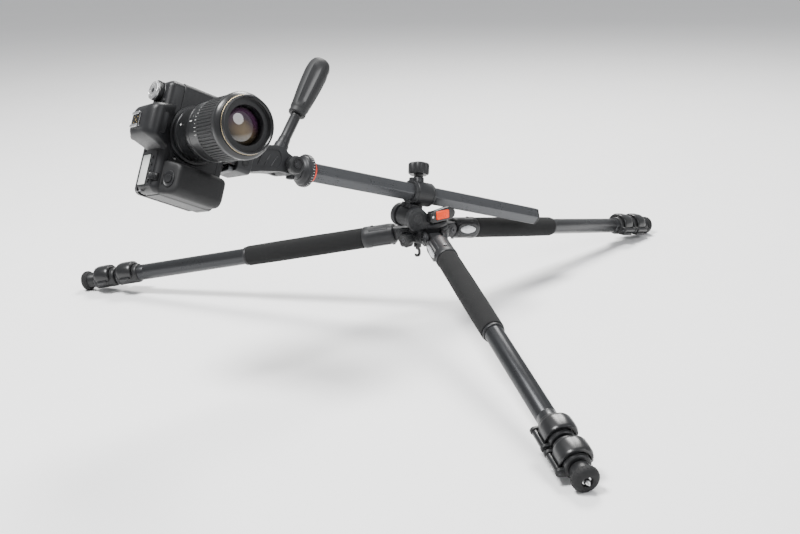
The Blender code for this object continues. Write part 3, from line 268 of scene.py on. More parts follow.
moulded("latchSilver", (0.52, 0.53, 0.545), 0.34, 0.65, grain=(1400, 0.00003), patch=0.05, wear=0.1)
moulded("signalOrange", (0.92, 0.060, 0.0005), 0.55, grain=(1000, 0.00003), patch=0.04, wear=0.1, dust=0.02)
moulded("signalRed", (0.80, 0.045, 0.015), 0.42, grain=(1000, 0.00003), patch=0.05, wear=0.1, dust=0.04)
moulded("footRubber", (0.010, 0.010, 0.0105), 0.75, grain=(1300, 0.00009), patch=0.2, wear=0.2, dust=0.28)
moulded("handleRubber", (0.0155, 0.016, 0.0168), 0.55, grain=(1500, 0.00008), patch=0.12, wear=0.2,
    dust=0.12)
moulded("shellBlack", (0.0085, 0.0088, 0.0098), 0.40, grain=(1700, 0.00006), patch=0.08, wear=0.35,
    cells=(2400, 0.00004, "F1"))
moulded("grainRubber", (0.0080, 0.0082, 0.0088), 0.55, grain=(1900, 0.00005), patch=0.12, wear=0.1,
    cells=(1150, 0.00020, "SMOOTH_F1"))
moulded("barrelBlack", (0.0105, 0.0108, 0.0115), 0.30, grain=(1500, 0.00003), patch=0.07, wear=0.25,
    coat=0.1)
moulded("ribRubber", (0.016, 0.0165, 0.0172), 0.50, grain=(1600, 0.00005), patch=0.10, wear=0.35, dust=0.14)
moulded("steel", (0.62, 0.62, 0.625), 0.26, 1.0, grain=(900, 0.00002), patch=0.08, wear=0.15,
    draw=(40, 1400, 1400))
moulded("darkSteel", (0.055, 0.055, 0.058), 0.32, 0.9, grain=(900, 0.00002), patch=0.1, wear=0.4)
moulded("dialSilver", (0.50, 0.50, 0.50), 0.30, 0.9, grain=(1200, 0.00002), patch=0.06, wear=0.2)
moulded("paleGold", (0.72, 0.58, 0.36), 0.24, 1.0, grain=(900, 0.00001), patch=0.05, wear=0.1)
moulded("clampGrey", (0.075, 0.077, 0.08), 0.38, 0.5, grain=(1200, 0.00003), patch=0.08, wear=0.2)
moulded("whiteInk", (0.72, 0.72, 0.70), 0.5, grain=(900, 0.00001), patch=0.06, wear=0.0)
moulded("baffleBlack", (0.0022, 0.0022, 0.0024), 0.5, grain=(1400, 0.00004), patch=0.2, wear=0.1, dust=0.02)
moulded("contactGold", (0.75, 0.55, 0.22), 0.25, 1.0, grain=(900, 0.00001), patch=0.05, wear=0.1)


def paintedReflectionGlass(name, centre, middle, rim, radius):
    # a coated element with a painted reflection in its base colour: warm on one side, cool on the other,
    # its colour running from its middle to its edge
    f = Finish(name)
    here = f.add("ShaderNodeTexCoord", out="Object")
    parts = f.add("ShaderNodeSeparateXYZ", {}, {0: here})
    x, y = parts, Wire(f, parts.socket.node.outputs[1])
    reach = ((x * x + y * y) ** 0.5) / radius
    smear = f.noise(55, 3) * 0.12
    # painted reflection: the warm ramp covers one side of the element and the cool ramp the other
    side = f.step(x + f.noise(30, 2) * (6 * mm), -8 * mm, 14 * mm)
    share = reach + smear - 0.06
    warm = f.ramp(share, [(0.0, centre), (0.42, middle), (0.8, tinted(middle, 0.3)),
        (1.0, tinted(middle, 0.08))])
    cool = f.ramp(share, [(0.0, tinted(middle, 0.6)), (0.4, tinted(rim, 0.5)), (0.75, rim),
        (1.0, tinted(rim, 0.2))])
    tone = f.blend(side, warm, cool)
    f.set(Base_Color=tone, Roughness=0.04 + f.noise(300, 2) * 0.03, Metallic=0.0, Coat_Weight=1.0,
        Coat_Roughness=0.02, Normal=f.bump(f.noise(40, 1), 0.00002))
    finishes[name] = f.material


paintedReflectionGlass("amberPaintedReflectionGlass", (0.16, 0.12, 0.07), (0.12, 0.085, 0.045), (0.045, 0.016, 0.042), 24 * mm)
paintedReflectionGlass("eyeGlassPaintedReflection", (0.03, 0.032, 0.04), (0.025, 0.025, 0.035), (0.012, 0.01, 0.02), 12 * mm)


def screenGlass(name, colour, rough):
    f = Finish(name)
    smudge = f.noise(35, 6)
    f.set(Base_Color=f.blend(smudge, tinted(colour, 0.92), tinted(colour, 1.08)), Coat_Weight=0.8,
        Coat_Roughness=0.06, Roughness=rough + (smudge - 0.5) * 0.12,
        Normal=f.bump(f.noise(120, 3), 0.00001))
    finishes[name] = f.material


screenGlass("panelGrey", (0.62, 0.64, 0.62), 0.3)
screenGlass("screenBlack", (0.008, 0.008, 0.010), 0.12)
print("finishes:", len(finishes))


# mesh building, in millimetres

def circleRing(radius, z, steps):
    return [(radius * cos(2 * pi * i / steps), radius * sin(2 * pi * i / steps), z) for i in range(steps)]


def flat(line, z):
    return [(x, y, z) for x, y in line]


def arcLine(cx, cy, radius, start, end, count):
    return [(cx + radius * cos(radians(start + (end - start) * i / count)),
        cy + radius * sin(radians(start + (end - start) * i / count))) for i in range(count + 1)]


def roundBox(x0, y0, x1, y1, r, count=6):
    return (arcLine(x1 - r, y0 + r, r, -90, 0, count) + arcLine(x1 - r, y1 - r, r, 0, 90, count)
        + arcLine(x0 + r, y1 - r, r, 90, 180, count) + arcLine(x0 + r, y0 + r, r, 180, 270, count))


def hexRing(flats, z, steps):
    points = []
    for i in range(steps):
        angle = 360 * i / steps
        reach = flats / 2 / cos(radians((angle + 30) % 60 - 30))
        points.append((reach * cos(radians(angle)), reach * sin(radians(angle)), z))
    return points


class Shape:
    def __init__(self, finish):
        self.mesh = bmesh.new()
        self.names = [finish]
        self.current = 0

    def use(self, finish):
        if finish not in self.names:
            self.names.append(finish)
        self.current = self.names.index(finish)
        return self

    def take(self, part, spot=None):
        for face in part.faces:
            face.material_index = self.current
        bmesh.ops.recalc_face_normals(part, faces=part.faces)
        if spot is not None:
            part.transform(spot)
        bag = bpy.data.meshes.new("bag")
        part.to_mesh(bag)
        part.free()
        self.mesh.from_mesh(bag)
        bpy.data.meshes.remove(bag)
        return self

    def loft(self, rings, spot=None, loop=False):
        # skins rings of equal count; a ring of one point closes to that point
        part = bmesh.new()
        made = [[part.verts.new(p) for p in ring] for ring in rings]
        pairs = list(zip(made, made[1:])) + ([(made[-1], made[0])] if loop else [])
        for a, b in pairs:
            count = max(len(a), len(b))
            for i in range(count):
                j = (i + 1) % count
                corners = [a[i % len(a)], a[j % len(a)], b[j % len(b)], b[i % len(b)]]
                unique = list(dict.fromkeys(corners))
                if len(unique) > 2:
                    part.faces.new(unique)
        if not loop:
            for ring in (made[0], made[-1]):
                if len(ring) > 2:
                    part.faces.new(ring)
        return self.take(part, spot)

    def turn(self, profile, steps=64, spot=None):
        # a lathe form from (radius, height) points; open at both ends it closes into a tube wall
        rings = [circleRing(r, z, steps) if r > 1e-6 else [(0, 0, z)] for r, z in profile]
        return self.loft(rings, spot, loop=profile[0][0] > 1e-6 and profile[-1][0] > 1e-6)

    def soften(self, part, width, count):
        # rounds the edges that turn by more than 25 degrees
        if width:
            part.normal_update()
            edges = [e for e in part.edges if len(e.link_faces) == 2 and e.calc_face_angle(0) > radians(25)]
            bmesh.ops.bevel(part, geom=edges, offset=width, segments=count, profile=0.5, affect='EDGES',
                clamp_overlap=True)

    def slab(self, line, low, high, soft=0.6, spot=None, count=3):
        part = bmesh.new()
        bottom = [part.verts.new((x, y, low)) for x, y in line]
        top = [part.verts.new((x, y, high)) for x, y in line]
        part.faces.new(bottom[::-1])
        part.faces.new(top)
        for i in range(len(line)):
            j = (i + 1) % len(line)
            part.faces.new([bottom[i], bottom[j], top[j], top[i]])
        bmesh.ops.recalc_face_normals(part, faces=part.faces)
        self.soften(part, soft, count)
        return self.take(part, spot)

    def block(self, low, high, soft=0.6, spot=None, count=3):
        line = [(low[0], low[1]), (high[0], low[1]), (high[0], high[1]), (low[0], high[1])]
        return self.slab(line, low[2], high[2], soft, spot, count)

    def rod(self, radius, low, high, spot=None, steps=40, edge=0.5):
        return self.turn([(0, low), (radius - edge, low), (radius - edge * 0.3, low + edge * 0.3),
            (radius, low + edge), (radius, high - edge), (radius - edge * 0.3, high - edge * 0.3),
            (radius - edge, high), (0, high)], steps, spot)

    def hexBolt(self, radius, height, flats, spot=None, steps=36):
        # a socket head screw seen from above
        return self.loft([[(0, 0, 0)], circleRing(radius, 0, steps),
            circleRing(radius, height - 0.4, steps), circleRing(radius - 0.4, height, steps),
            hexRing(flats, height, steps), hexRing(flats, height - 1.6, steps), [(0, 0, height - 1.6)]],
            spot)

    def piece(self, name, place, body, nodes, sharp=32.0):
        mesh = bpy.data.meshes.new(name)
        bmesh.ops.scale(self.mesh, vec=(mm, mm, mm), verts=self.mesh.verts)
        self.mesh.to_mesh(mesh)
        self.mesh.free()
        for finish in self.names:
            mesh.materials.append(finishes[finish])
        mesh.shade_smooth()
        mesh.set_sharp_from_angle(angle=radians(sharp))
        thing = bpy.data.objects.new(name, mesh)
        bpy.context.scene.collection.objects.link(thing)
        thing.matrix_world = place
        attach(thing, body)
        if nodes:
            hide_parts(*nodes)
        return thing


def carve(thing, shape, place):
    # cuts a shape out of a finished piece and keeps the result as its mesh
    mesh = bpy.data.meshes.new("tool")
    bmesh.ops.scale(shape.mesh, vec=(mm, mm, mm), verts=shape.mesh.verts)
    shape.mesh.to_mesh(mesh)
    shape.mesh.free()
    for finish in shape.names:
        mesh.materials.append(finishes[finish])
    tool = bpy.data.objects.new("tool", mesh)
    bpy.context.scene.collection.objects.link(tool)
    tool.matrix_world = place
    cut = thing.modifiers.new("cut", 'BOOLEAN')
    cut.operation, cut.solver, cut.object, cut.use_self = 'DIFFERENCE', 'EXACT', tool, True
    bpy.context.view_layer.update()
    result = bpy.data.meshes.new_from_object(thing.evaluated_get(bpy.context.evaluated_depsgraph_get()))
    thing.modifiers.remove(cut)
    thing.data = result
    result.set_sharp_from_angle(angle=radians(32))
    bpy.data.objects.remove(tool)


# legs: socket, spread latch, foam grip, three tubes with flip-lever clamps, rubber foot

# tube radii, where the clamps start and end, the lever pin beside the leg, the foot and the leaf's middle
legSizes = {"tubes": (13, 11.4, 9.8), "upper": (470.7, 510.7), "lower": (514, 554), "pin": (-20.8, -5),
    "foot": 572.4, "leaf": 38}


def buildLeg(name):
    place, middle = legAt[name], legSizes["leaf"]
    upper, lower, thin = legSizes["tubes"]
    s = Shape("castGrey")
    s.turn([(0, 16), (13.8, 16), (15.2, 17.5), (16.0, 22), (16.4, 27), (16.4, 56), (17.0, 57.5),
        (17.0, 65.6), (16.2, 67), (13.3, 67), (13.3, 60), (0, 60)], 72, alongX)
    s.slab(arcLine(0, 0, 8.8, 90, 270, 20) + [(12, -9.6), (20, -12), (26, -12), (26, 12), (20, 12),
        (12, 9.6)], -8.6, 8.6, 1.4, facing)
    for angle in (42, 138, 222, 318):
        s.block((24, -1.4, 15.6), (55, 1.4, 16.9), 0.5, local(turn=(angle, 0, 0)))
    # the raised frame round the latch leaf, a small screw on each side and the leaf's pocket
    s.slab(roundBox(15, -9.2, 60, 9.2, 8.8, 8), 13.5, 17.9, 1.2, facing)
    for side in (-1, 1):
        s.use("darkSteel").hexBolt(2.6, 1.5, 2.4, local(22 if side < 0 else 52, 0, 16.0 * side,
            (0 if side > 0 else 180, 0, 0)))
    socket = s.piece(name + "_socket_shell", place, name + "_leg", [name + "_socket"])
    leaf = [(middle + 18.6 * cos(a / 36 * 2 * pi), 7.0 * sin(a / 36 * 2 * pi)) for a in range(36)]
    carve(socket, Shape("castGrey").slab(leaf, 12.2, 20, 0.0, facing), place)
    s = Shape("latchSilver")
    # a pointed silver leaf with a raised middle ridge, pressed in to free the leg angle
    rings = []
    for reach, width, height in ((18.0, 6.4, 14.8), (18.2, 6.6, 16.9), (17.6, 6.1, 17.7), (15.8, 4.6, 18.2),
            (12.5, 1.8, 18.5)):
        rings.append([(middle + reach * copysign(abs(cos(t)) ** 1.25, cos(t)), width * sin(t), height)
            for t in (2 * pi * i / 48 for i in range(48))])
    s.loft(rings, facing)
    for x in (29, 31.4, 33.8):
        s.block((x - 0.5, -2.6, 17.9), (x + 0.5, 2.6, 18.75), 0.25, facing)
    s.piece(name + "_latch_leaf", place, name + "_latch", [name + "_angle_latch"])

    s = Shape("tubeGrey")
    # the bare upper tube with a fine groove near its clamp, and the collar that ends the grip
    s.turn([(11.7, 45), (12.96, 45), (13.0, 46), (13.0, 459.2), (12.85, 459.5), (12.85, 460.1),
        (13.0, 460.4), (13.0, 474), (11.7, 474)], 72, alongX)
    s.use("castGrey").turn([(12.9, 269), (14.6, 269.2), (14.9, 270.2), (14.9, 272.6), (14.5, 273.4),
        (12.9, 273.6)], 72, alongX)
    clampBody(s, legSizes["upper"], upper, lower)
    s.piece(name + "_upper_tube_shell", place, name + "_leg", [name + "_upper_tube"])

    s = Shape("foamBlack")
    # closed-cell sleeve, a little full in the middle, its ends rolled in
    line = [(13.05, 67.4)]
    line += [(14.6 + 1.4 * sin(radians(a)), 69.2 - 1.8 * cos(radians(a))) for a in range(0, 91, 15)]
    for i in range(1, 30):
        share = i / 30
        line.append((16.0 + 0.32 * sin(pi * share) + 0.06 * sin(19 * share), 69.2 + 197.4 * share))
    line += [(14.6 + 1.4 * cos(radians(a)), 266.8 + 1.9 * sin(radians(a))) for a in range(0, 91, 15)]
    line += [(13.05, 268.7)]
    s.turn(line, 72, alongX)
    foam = s.piece(name + "_foam_grip", place, name + "_leg", [name + "_grip"], 50)

    s = Shape("tubeGrey")
    s.turn([(10.1, 100), (11.36, 100), (11.4, 101), (11.4, 516), (10.1, 516)], 64, alongX)
    clampBody(s, legSizes["lower"], lower, thin)
    s.piece(name + "_middle_tube_shell", place, name + "_middle", [name + "_middle_tube"])

    s = Shape("tubeGrey")
    s.turn([(8.5, 120), (9.76, 120), (9.8, 121), (9.8, 566), (8.5, 566)], 64, alongX)
    s.use("plasticBlack")
    s.turn([(9.6, 555.6), (11.6, 555.8), (12.1, 556.8), (12.1, 559.4), (12.8, 560.6), (12.8, 571.6),
        (9.0, 571.8), (9.0, 561), (9.6, 560.6)], 64, alongX)
    s.piece(name + "_lower_tube_shell", place, name + "_lower", [name + "_lower_tube"])

    for stage in ("upper", "lower"):
        flipLever(name, place, stage)
    rubberFoot(name, place)


def clampBody(s, span, outer, inner):
    # a round moulded clamp: a stepped collar with a dark steel band near its end
    x0, x1 = span
    s.use("plasticBlack")
    s.turn([(outer - 0.05, x0), (14.4, x0 + 0.2), (15.3, x0 + 1.0), (15.9, x0 + 2.6), (16.0, x0 + 4.4),
        (16.0, x1 - 5.2), (15.7, x1 - 4.9), (15.7, x1 - 4.1), (16.0, x1 - 3.8), (16.0, x1 - 1.6),
        (15.2, x1 - 0.5), (13.9, x1), (inner + 0.35, x1), (inner + 0.35, x1 - 6), (outer - 0.05, x1 - 9)],
        72, alongX)
    s.use("darkSteel").turn([(15.6, x1 - 3.4), (16.15, x1 - 3.1), (16.15, x1 - 1.9), (15.5, x1 - 1.5)], 72,
        alongX)
    s.use("plasticBlack")
    middle = (x0 + x1) / 2
    # ears on both sides of the lever's pin, and the split lip under it with its dark gap
    for side in (-1, 1):
        a, b = sorted((middle + side * 13.9, middle + side * 19.2))
        s.slab(arcLine(*legSizes["pin"], 5, 90, 270, 12) + [(-11, -11.5), (-11, 0.5)], a, b, 1.3, alongX)
    s.slab([(-19.4, -15.6), (-8, -15.2), (-7, -11), (-18.6, -10.2)], middle - 13.4, middle + 13.4, 1.2,
        alongX)
    s.use("baffleBlack").slab([(-18, -10.6), (-13, -10.6), (-13, -9.2), (-17.4, -9.2)], middle - 13,
        middle + 13, 0.1, alongX)
    s.use("darkSteel")
    for side in (-1, 1):
        s.turn([(0, 0), (2.0, 0), (1.7, 0.5), (0.9, 0.7), (0, 0.7)], 24,
            local(middle + side * 19.1, *legSizes["pin"], (0, 90 * side, 0)))


def flipLever(name, place, stage):
    middle = sum(legSizes[stage]) / 2
    half, seat = 13.5, 16.7
    s = Shape("leverBlack")
    # the paddle wraps over the clamp from its pin and ends in a bulb that a thumb lifts
    rings = []
    for i in range(33):
        share = i / 32
        angle = 193.5 - share * 204
        swell = sin(pi * max(0.0, share - 0.55) / 0.45) ** 0.7 if share > 0.55 else 0
        high = seat + 2.2 + 1.9 * sin(pi * min(1, share * 1.1)) + 2.6 * swell
        wide = half - 2.2 * (1 - sin(pi * min(0.5, share * 0.9))) - 4.5 * max(0.0,
            (share - 0.86) / 0.14) ** 2
        if share > 0.97:
            high -= 1.6
        y, z = cos(radians(angle)), sin(radians(angle))
        low, lift = seat + 0.9 * swell, 0.5 * sin(pi * share) + 0.7 * swell
        lean = 1.6 * sin(pi * share)
        rings.append([(middle + lean + dx, reach * y, reach * z)
            for dx, reach in ((-wide + 1.2, low), (wide - 1.2, low), (wide - 0.2, low + 0.5),
            (wide, low + 1.1), (wide - 0.4, high - 0.8), (wide - 1.6, high), (wide - 4.8, high + lift),
            (0, high + lift * 1.3), (-wide + 4.8, high + lift), (-wide + 1.6, high),
            (-wide + 0.4, high - 0.8), (-wide, low + 1.1), (-wide + 0.2, low + 0.5))])
    s.loft(rings)
    # the hub round its pin and a rounded thumb rib along the free end
    s.turn([(0, -half), (3.4, -half), (4.0, -half + 0.6), (4.0, half - 0.6), (3.4, half), (0, half)], 32,
        local(middle, *legSizes["pin"]) @ alongX)
    s.turn([(0, -9.5), (1.5, -9.3), (2.6, -8.2), (2.9, -6), (2.9, 6), (2.6, 8.2), (1.5, 9.3), (0, 9.5)], 32,
        local(middle, 20.4, -2.4) @ alongX)
    s.use("darkSteel").turn([(0, 0), (1.5, 0), (1.3, 0.4), (0, 0.5)], 24,
        local(middle + 6, -13.9, 14.6, (43, 0, 0)))
    lever = name + "_" + stage + "_lever"
    s.piece(lever + "_paddle", place, lever, [lever])


def rubberFoot(name, place):
    station = legSizes["foot"]
    core = local(station - 3.8) @ alongX
    s = Shape("footRubber")
    s.turn([(0, 0.3), (12.9, 0.3), (14.0, 0.6), (15.2, 1.8), (15.9, 3.6), (16.0, 6.4), (15.6, 9.2),
        (14.2, 11.3), (12.2, 12.4), (9.6, 12.9), (7.2, 12.9), (6.4, 12.4), (6.2, 9.5), (0, 9.5)], 72,
        local(station - 6) @ alongX)
    # moulded flutes round the rim, then the steel spike and its washer
    for i in range(24):
        s.block((station - 3.6, -0.55, 15.5), (station + 2.4, 0.55, 16.25), 0.25,
            local(turn=(15 * i, 0, 0)))
    s.use("steel").turn([(0, 2), (3.6, 2), (3.9, 2.6), (3.9, 9.4), (2.3, 12.6), (0.4, 15.6), (0, 15.7)], 32,
        core)
    s.turn([(4.0, 6), (5.6, 6), (5.6, 7.1), (5.2, 7.5), (4.0, 7.5)], 32, core)
    s.piece(name + "_foot_boot", place, name + "_foot", [name + "_foot"], 40)


for name in legNames:
    buildLeg(name)
print("legs built")


# canopy: the casting the legs hang from, its knob and its hook

# where the legs hang, how far out and down their pivots are, the ears' radius, the hook's side and place
canopySizes = {"turns": (165, 45, 285), "reach": 36, "drop": -36 * tan(radians(11.56)), "ear": 10.3,
    "hookTurn": 225, "hook": (23.5, 0, -22)}


def smoothLine(points, count=5):
    # a closed curve through the points
    line = []
    total = len(points)
    for i in range(total):
        a, b, c, d = (Vector(points[(i + k - 1) % total]) for k in range(4))
        for j in range(count):
            t = j / count
            line.append(tuple(0.5 * ((2 * b) + (c - a) * t + (2 * a - 5 * b + 4 * c - d) * t * t
                + (3 * b - a - 3 * c + d) * t ** 3)))
    return line


def canopyRing(radius, z, steps=144):
    ring = []
    for i in range(steps):
        angle = 360 * i / steps
        reach = radius
        for turn in canopySizes["turns"]:
            off = radians((angle - turn + 180) % 360 - 180)
            if abs(off) < 0.45:
                reach = min(reach, max(24.0 / cos(off), radius * 0.6))
        ring.append((reach * cos(radians(angle)), reach * sin(radians(angle)), z))
    return ring


def lobed(radius, depth, lobes, count=96):
    line = []
    for i in range(count):
        angle = 2 * pi * i / count
        reach = radius - depth * (0.5 - 0.5 * cos(lobes * angle)) ** 2
        line.append((reach * cos(angle), reach * sin(angle)))
    return line


def lobedKnob(s, radius, depth, lobes, low, high, spot):
    # a hand knob with finger hollows that fade out towards its rounded ends
    rings = [[(0, 0, low)]]
    for share, inset, keep in ((0, 4.0, 0.3), (0, 2.0, 0.5), (0.04, 0.8, 0.75), (0.14, 0, 1), (0.82, 0, 1),
            (0.93, 0.7, 0.9), (0.985, 2.2, 0.6), (1.0, 4.2, 0.3)):
        rings.append(flat(lobed(radius - inset, depth * keep, lobes), low + (high - low) * share))
    s.loft(rings + [flat(lobed(radius * 0.52, 0, lobes), high),
        flat(lobed(radius * 0.46, 0, lobes), high - 0.7), [(0, 0, high - 0.9)]], spot)


s = Shape("castGrey")
s.loft([canopyRing(r, z) for r, z in ((16.9, 5.7), (27.2, 5.9), (29.2, 5.2), (30.4, 3.8), (30.8, 2.0),
    (30.8, -3.0), (30.2, -3.4), (30.2, -4.6), (30.8, -5.0), (30.8, -13.5), (30.0, -16.0), (28.0, -17.7),
    (25.0, -18.0), (16.9, -18.0))], loop=True)
reach, drop, ear = canopySizes["reach"], canopySizes["drop"], canopySizes["ear"]
for turn in canopySizes["turns"]:
    for side in (-1, 1):
        low, high = sorted((side * 11.4, side * 17.7))
        line = [(20, drop - ear)] + arcLine(reach, drop, ear, -90, 90, 24) + [(20, drop + ear)]
        s.use("castGrey").slab(line, -high, -low, 1.3, spun(turn) @ facing)
        s.slab([(20, drop - 7)] + arcLine(35, drop, 7, -90, 90, 20) + [(20, drop + 7)],
            -(side * 17.9) - 0.45, -(side * 17.9) + 0.45, 0.4, spun(turn) @ facing)
        s.use("darkSteel").hexBolt(4.4, 1.9, 4.0, spun(turn)
            @ local(reach, side * 17.6, drop, (-90 * side, 0, 0)))
# a rib and a rivet on the rim between each two legs, then the lugs and pin of the hook
for turn in (105, 225, 345):
    s.use("castGrey").block((28.6, -9, -12), (31.4, 9, 1), 1.4, spun(turn))
    s.use("darkSteel").rod(1.7, 0, 0.9, spun(turn) @ local(31.1, -6.5, -8.5) @ alongX, 20, 0.3)
s.use("castGrey")
hookTurn, hookSpot = spun(canopySizes["hookTurn"]), local(*canopySizes["hook"])
for side in (-1, 1):
    s.block((19.6, side * 3.6 - 1.2, -25.3), (27.4, side * 3.6 + 1.2, -17), 0.8, hookTurn)
s.use("steel").rod(1.35, -4.7, 4.7, hookTurn @ hookSpot @ alongY, 20, 0.3)
s.piece("canopy_casting", hubAt, "canopy", ["canopy"])

knobAt = moved(hubAt, turn=(0, 0, canopySizes["hookTurn"]))
stem = local(0, 0, -8) @ alongX
s = Shape("plasticBlack")
lobedKnob(s, 12, 1.7, 6, 40.2, 54, stem)
s.use("steel").rod(4.9, 26, 40.4, stem, 32)
s.use("castGrey").turn([(0, 31.3), (7.4, 31.3), (7.8, 31.9), (7.8, 33.0), (7.2, 33.5), (0, 33.5)], 32, stem)
s.use("darkSteel").hexBolt(3.6, 0.8, 3.0, stem @ local(0, 0, 53.1))
s.piece("canopy_hand_knob", knobAt, "canopy_knob", ["canopy_knob"])

s = Shape("plasticBlack")
hookLine = (arcLine(0, 0, 3.1, 0, 180, 10) + [(-3.1, -4), (-5.3, -8), (-5.5, -11.5), (-5.3, -15),
    (-3, -17.8), (0.3, -18.3), (3.5, -17.8), (5.3, -15.5), (5.4, -12.6), (3.1, -12.6), (2.4, -14.4),
    (0.2, -15.1), (-1.9, -14.4), (-2.1, -9), (0.8, -7.2), (3.1, -5.5)])
s.slab(hookLine, -1.9, 1.9, 0.6, hookSpot @ facing)
s.piece("load_hook", knobAt, "hook", ["hook"])

# swivel: base disc, hinge cheeks and the rail for the lock lever
swivelSizes = {"hinge": (37, 25.2), "bore": 16.5, "buttonLow": 15.9, "buttonHigh": 37, "pin": 26}
hingeX, hingeZ = swivelSizes["hinge"]
s = Shape("castGrey")
s.turn([(16.6, 6.4), (28.6, 6.4), (29.8, 7.2), (30, 8.6), (30, 10.8), (28.8, 13.0), (27.0, 14.2),
    (16.6, 14.3)], 96)
for side in (-1, 1):
    line = [(5, 7.5), (40, 7.5), (46, 9.4)] + arcLine(hingeX, hingeZ, 17.3, -58, 118, 28) + [(18, 30),
        (9, 21.5), (5, 15)]
    s.slab(line, -(side * 18.5) - 4.3, -(side * 18.5) + 4.3, 1.5, facing)
    # a turned boss with a dark hexagon socket on the hinge's outer face
    s.loft([[(0, 0, 21.4)], circleRing(11.6, 21.4, 48), circleRing(11.6, 23.0, 48),
        circleRing(10.6, 23.6, 48), circleRing(6.6, 23.6, 48), circleRing(6.0, 23.0, 48),
        hexRing(8.0, 23.0, 48), hexRing(8.0, 19.4, 48), [(0, 0, 19.4)]],
        local(hingeX, 0, hingeZ) @ (alongY if side > 0 else facing))
s.use("castGrey").block((-20, 18.7, 8), (16, 22.8, 32.6), 1.4)
s.use("steel").rod(2.1, 18, 31.8, local(14, 0, swivelSizes["pin"]) @ alongY, 24, 0.3)
s.use("darkSteel")
for x, y in ((-20, 8), (-18, -12), (4, -23), (4, 22)):
    s.hexBolt(2.4, 0.9, 2.2, local(x, y, 13.6))
swivel = s.piece("swivel_casting", swivelAt, "swivel", ["swivel_base"])
carve(swivel, Shape("castGrey").rod(swivelSizes["bore"], -10, 60, None, 72, 0.0001), swivelAt)

leverAt = moved(swivelAt, 14, 27.8, 0)
s = Shape("leverBlack")
line = smoothLine([(3.8, 17.5), (4.3, 25), (3.4, 31.5), (-4, 34.2), (-14, 35.4), (-24, 36.6), (-33, 36.4),
    (-40.5, 31.5), (-42.9, 26.4), (-41, 21), (-35, 16.9), (-24, 16.8), (-12, 16.2), (-2, 15.9)], 6)
s.slab(line, -4.1, 4.1, 1.7, facing)
s.slab([(x * 0.9 - 1.9, (z - 26) * 0.82 + 26) for x, z in line], -4.75, -3.9, 0.6, facing)
for i in range(5):
    s.block((-40 + i * 1.7, 4.0, 20.5 + i * 0.2), (-39.1 + i * 1.7, 4.9, 31.5), 0.3)
lever = s.piece("swivel_lock_lever", leverAt, "swivel_lever", ["swivel_lever"])
middle = (swivelSizes["buttonLow"] + swivelSizes["buttonHigh"]) / 2
window = roundBox(-29.4, middle - 6.4, -4.6, middle + 7.4, 2.2)
carve(lever, Shape("baffleBlack").slab(window, -9, 2.4, 0.0, facing), leverAt)
carve(lever, Shape("steel").rod(2.55, -8, 8, local(0, 0, swivelSizes["pin"]) @ alongY, 24, 0.0001), leverAt)
s = Shape("signalOrange")
s.slab(roundBox(-28.9, middle - 5.9, -5.1, middle + 6.9, 2.0), -5.9, -0.5, 0.8, facing)
for i in range(3):
    s.block((-23 + i * 4.4, 5.5, middle - 3), (-21.6 + i * 4.4, 6.3, middle + 4), 0.35)
s.piece("release_push_button", leverAt, "release_button", ["release_button"])
print("canopy and swivel built")


# column, its clamp and the head

def softHex(flats, radius, z, count=4):
    line = []
    reach = flats / sqrt(3) - radius * 2 / sqrt(3)
    for i in range(6):
        corner = 30 + 60 * i
        cx, cy = reach * cos(radians(corner)), reach * sin(radians(corner))
        line += flat(arcLine(cx, cy, radius, corner - 30, corner + 30, count), z)
    return line


# flats across the clamp's bore, the column and its own bore, and where the clamp and the column end
columnSizes = {"clampBore": 26.5, "clamp": (-30, 9), "flats": 25.8, "bore": 21.8, "ends": (-257, 189.5),
    "screwTurn": 198, "cap": -257.4}
clampLow, clampHigh = columnSizes["clamp"]
s = Shape("castGrey")
outer = [(17.6, 9), (18.0, 8.2), (18.0, 4.6), (17.5, 4.2), (17.5, 3.4), (18, 3.0), (18, -24.6), (17.5, -25),
    (17.5, -25.8), (18.0, -26.2), (18.0, -28.8), (17.2, -30)]
s.loft([hexRing(columnSizes["clampBore"], clampHigh, 96)] + [circleRing(r, z, 96) for r, z in outer]
    + [hexRing(columnSizes["clampBore"], clampLow, 96)], loop=True)
s.turn([(0, -13.6), (13.6, -13.6), (14.9, -12.6), (15, -11.6), (15, 11.6), (14.9, 12.6), (13.6, 13.6),
    (0, 13.6)], 72, local(hingeX) @ alongY)
for side in (-1, 1):
    s.slab([(17, -12.6), (36, -12.6), (37, 9), (17, 8.6)], -(side * 9.4) - 3.9, -(side * 9.4) + 3.9, 1.4,
        facing)
s.slab([(17, -11.6), (34, -11.6), (35, 7.4), (17, 7.2)], -6, 6, 0.8, facing)
screwAt = local(0, 0, -8, (0, 0, columnSizes["screwTurn"]))
screwOut = screwAt @ alongX
s.turn([(0, 15), (8.9, 15), (8.5, 16.2), (8.5, 22.6), (7.9, 23.8), (4.0, 24), (0, 24)], 56, screwOut)
s.block((15.6, -4.6, 6), (22, 3.6, 16.2), 1.4, screwAt)
s.use("darkSteel").rod(1.5, -5.2, 4.2, screwAt @ local(19.5, 0, 12) @ alongY, 20, 0.3)
s.use("darkSteel").hexBolt(2.5, 1.1, 2.4, screwAt @ local(17.6, 10.5, 3) @ alongX)
s.piece("column_clamp_casting", columnAt, "column_clamp", ["column_clamp"])

s = Shape("plasticBlack")
lobedKnob(s, 16.2, 2.2, 5, 28.2, 46.2, screwOut)
s.turn([(0, 24.4), (6.6, 24.4), (7, 24.9), (7.6, 29.6), (0, 29.6)], 40, screwOut)
s.use("steel").rod(3.4, 16.2, 26, screwOut, 28, 0.4)
s.use("darkSteel").turn([(0, 44.2), (6.2, 44.2), (6.2, 45.6), (5.6, 46.0), (0, 46.0)], 40, screwOut)
s.piece("clamp_hand_knob", columnAt, "clamp_knob", ["clamp_knob"])

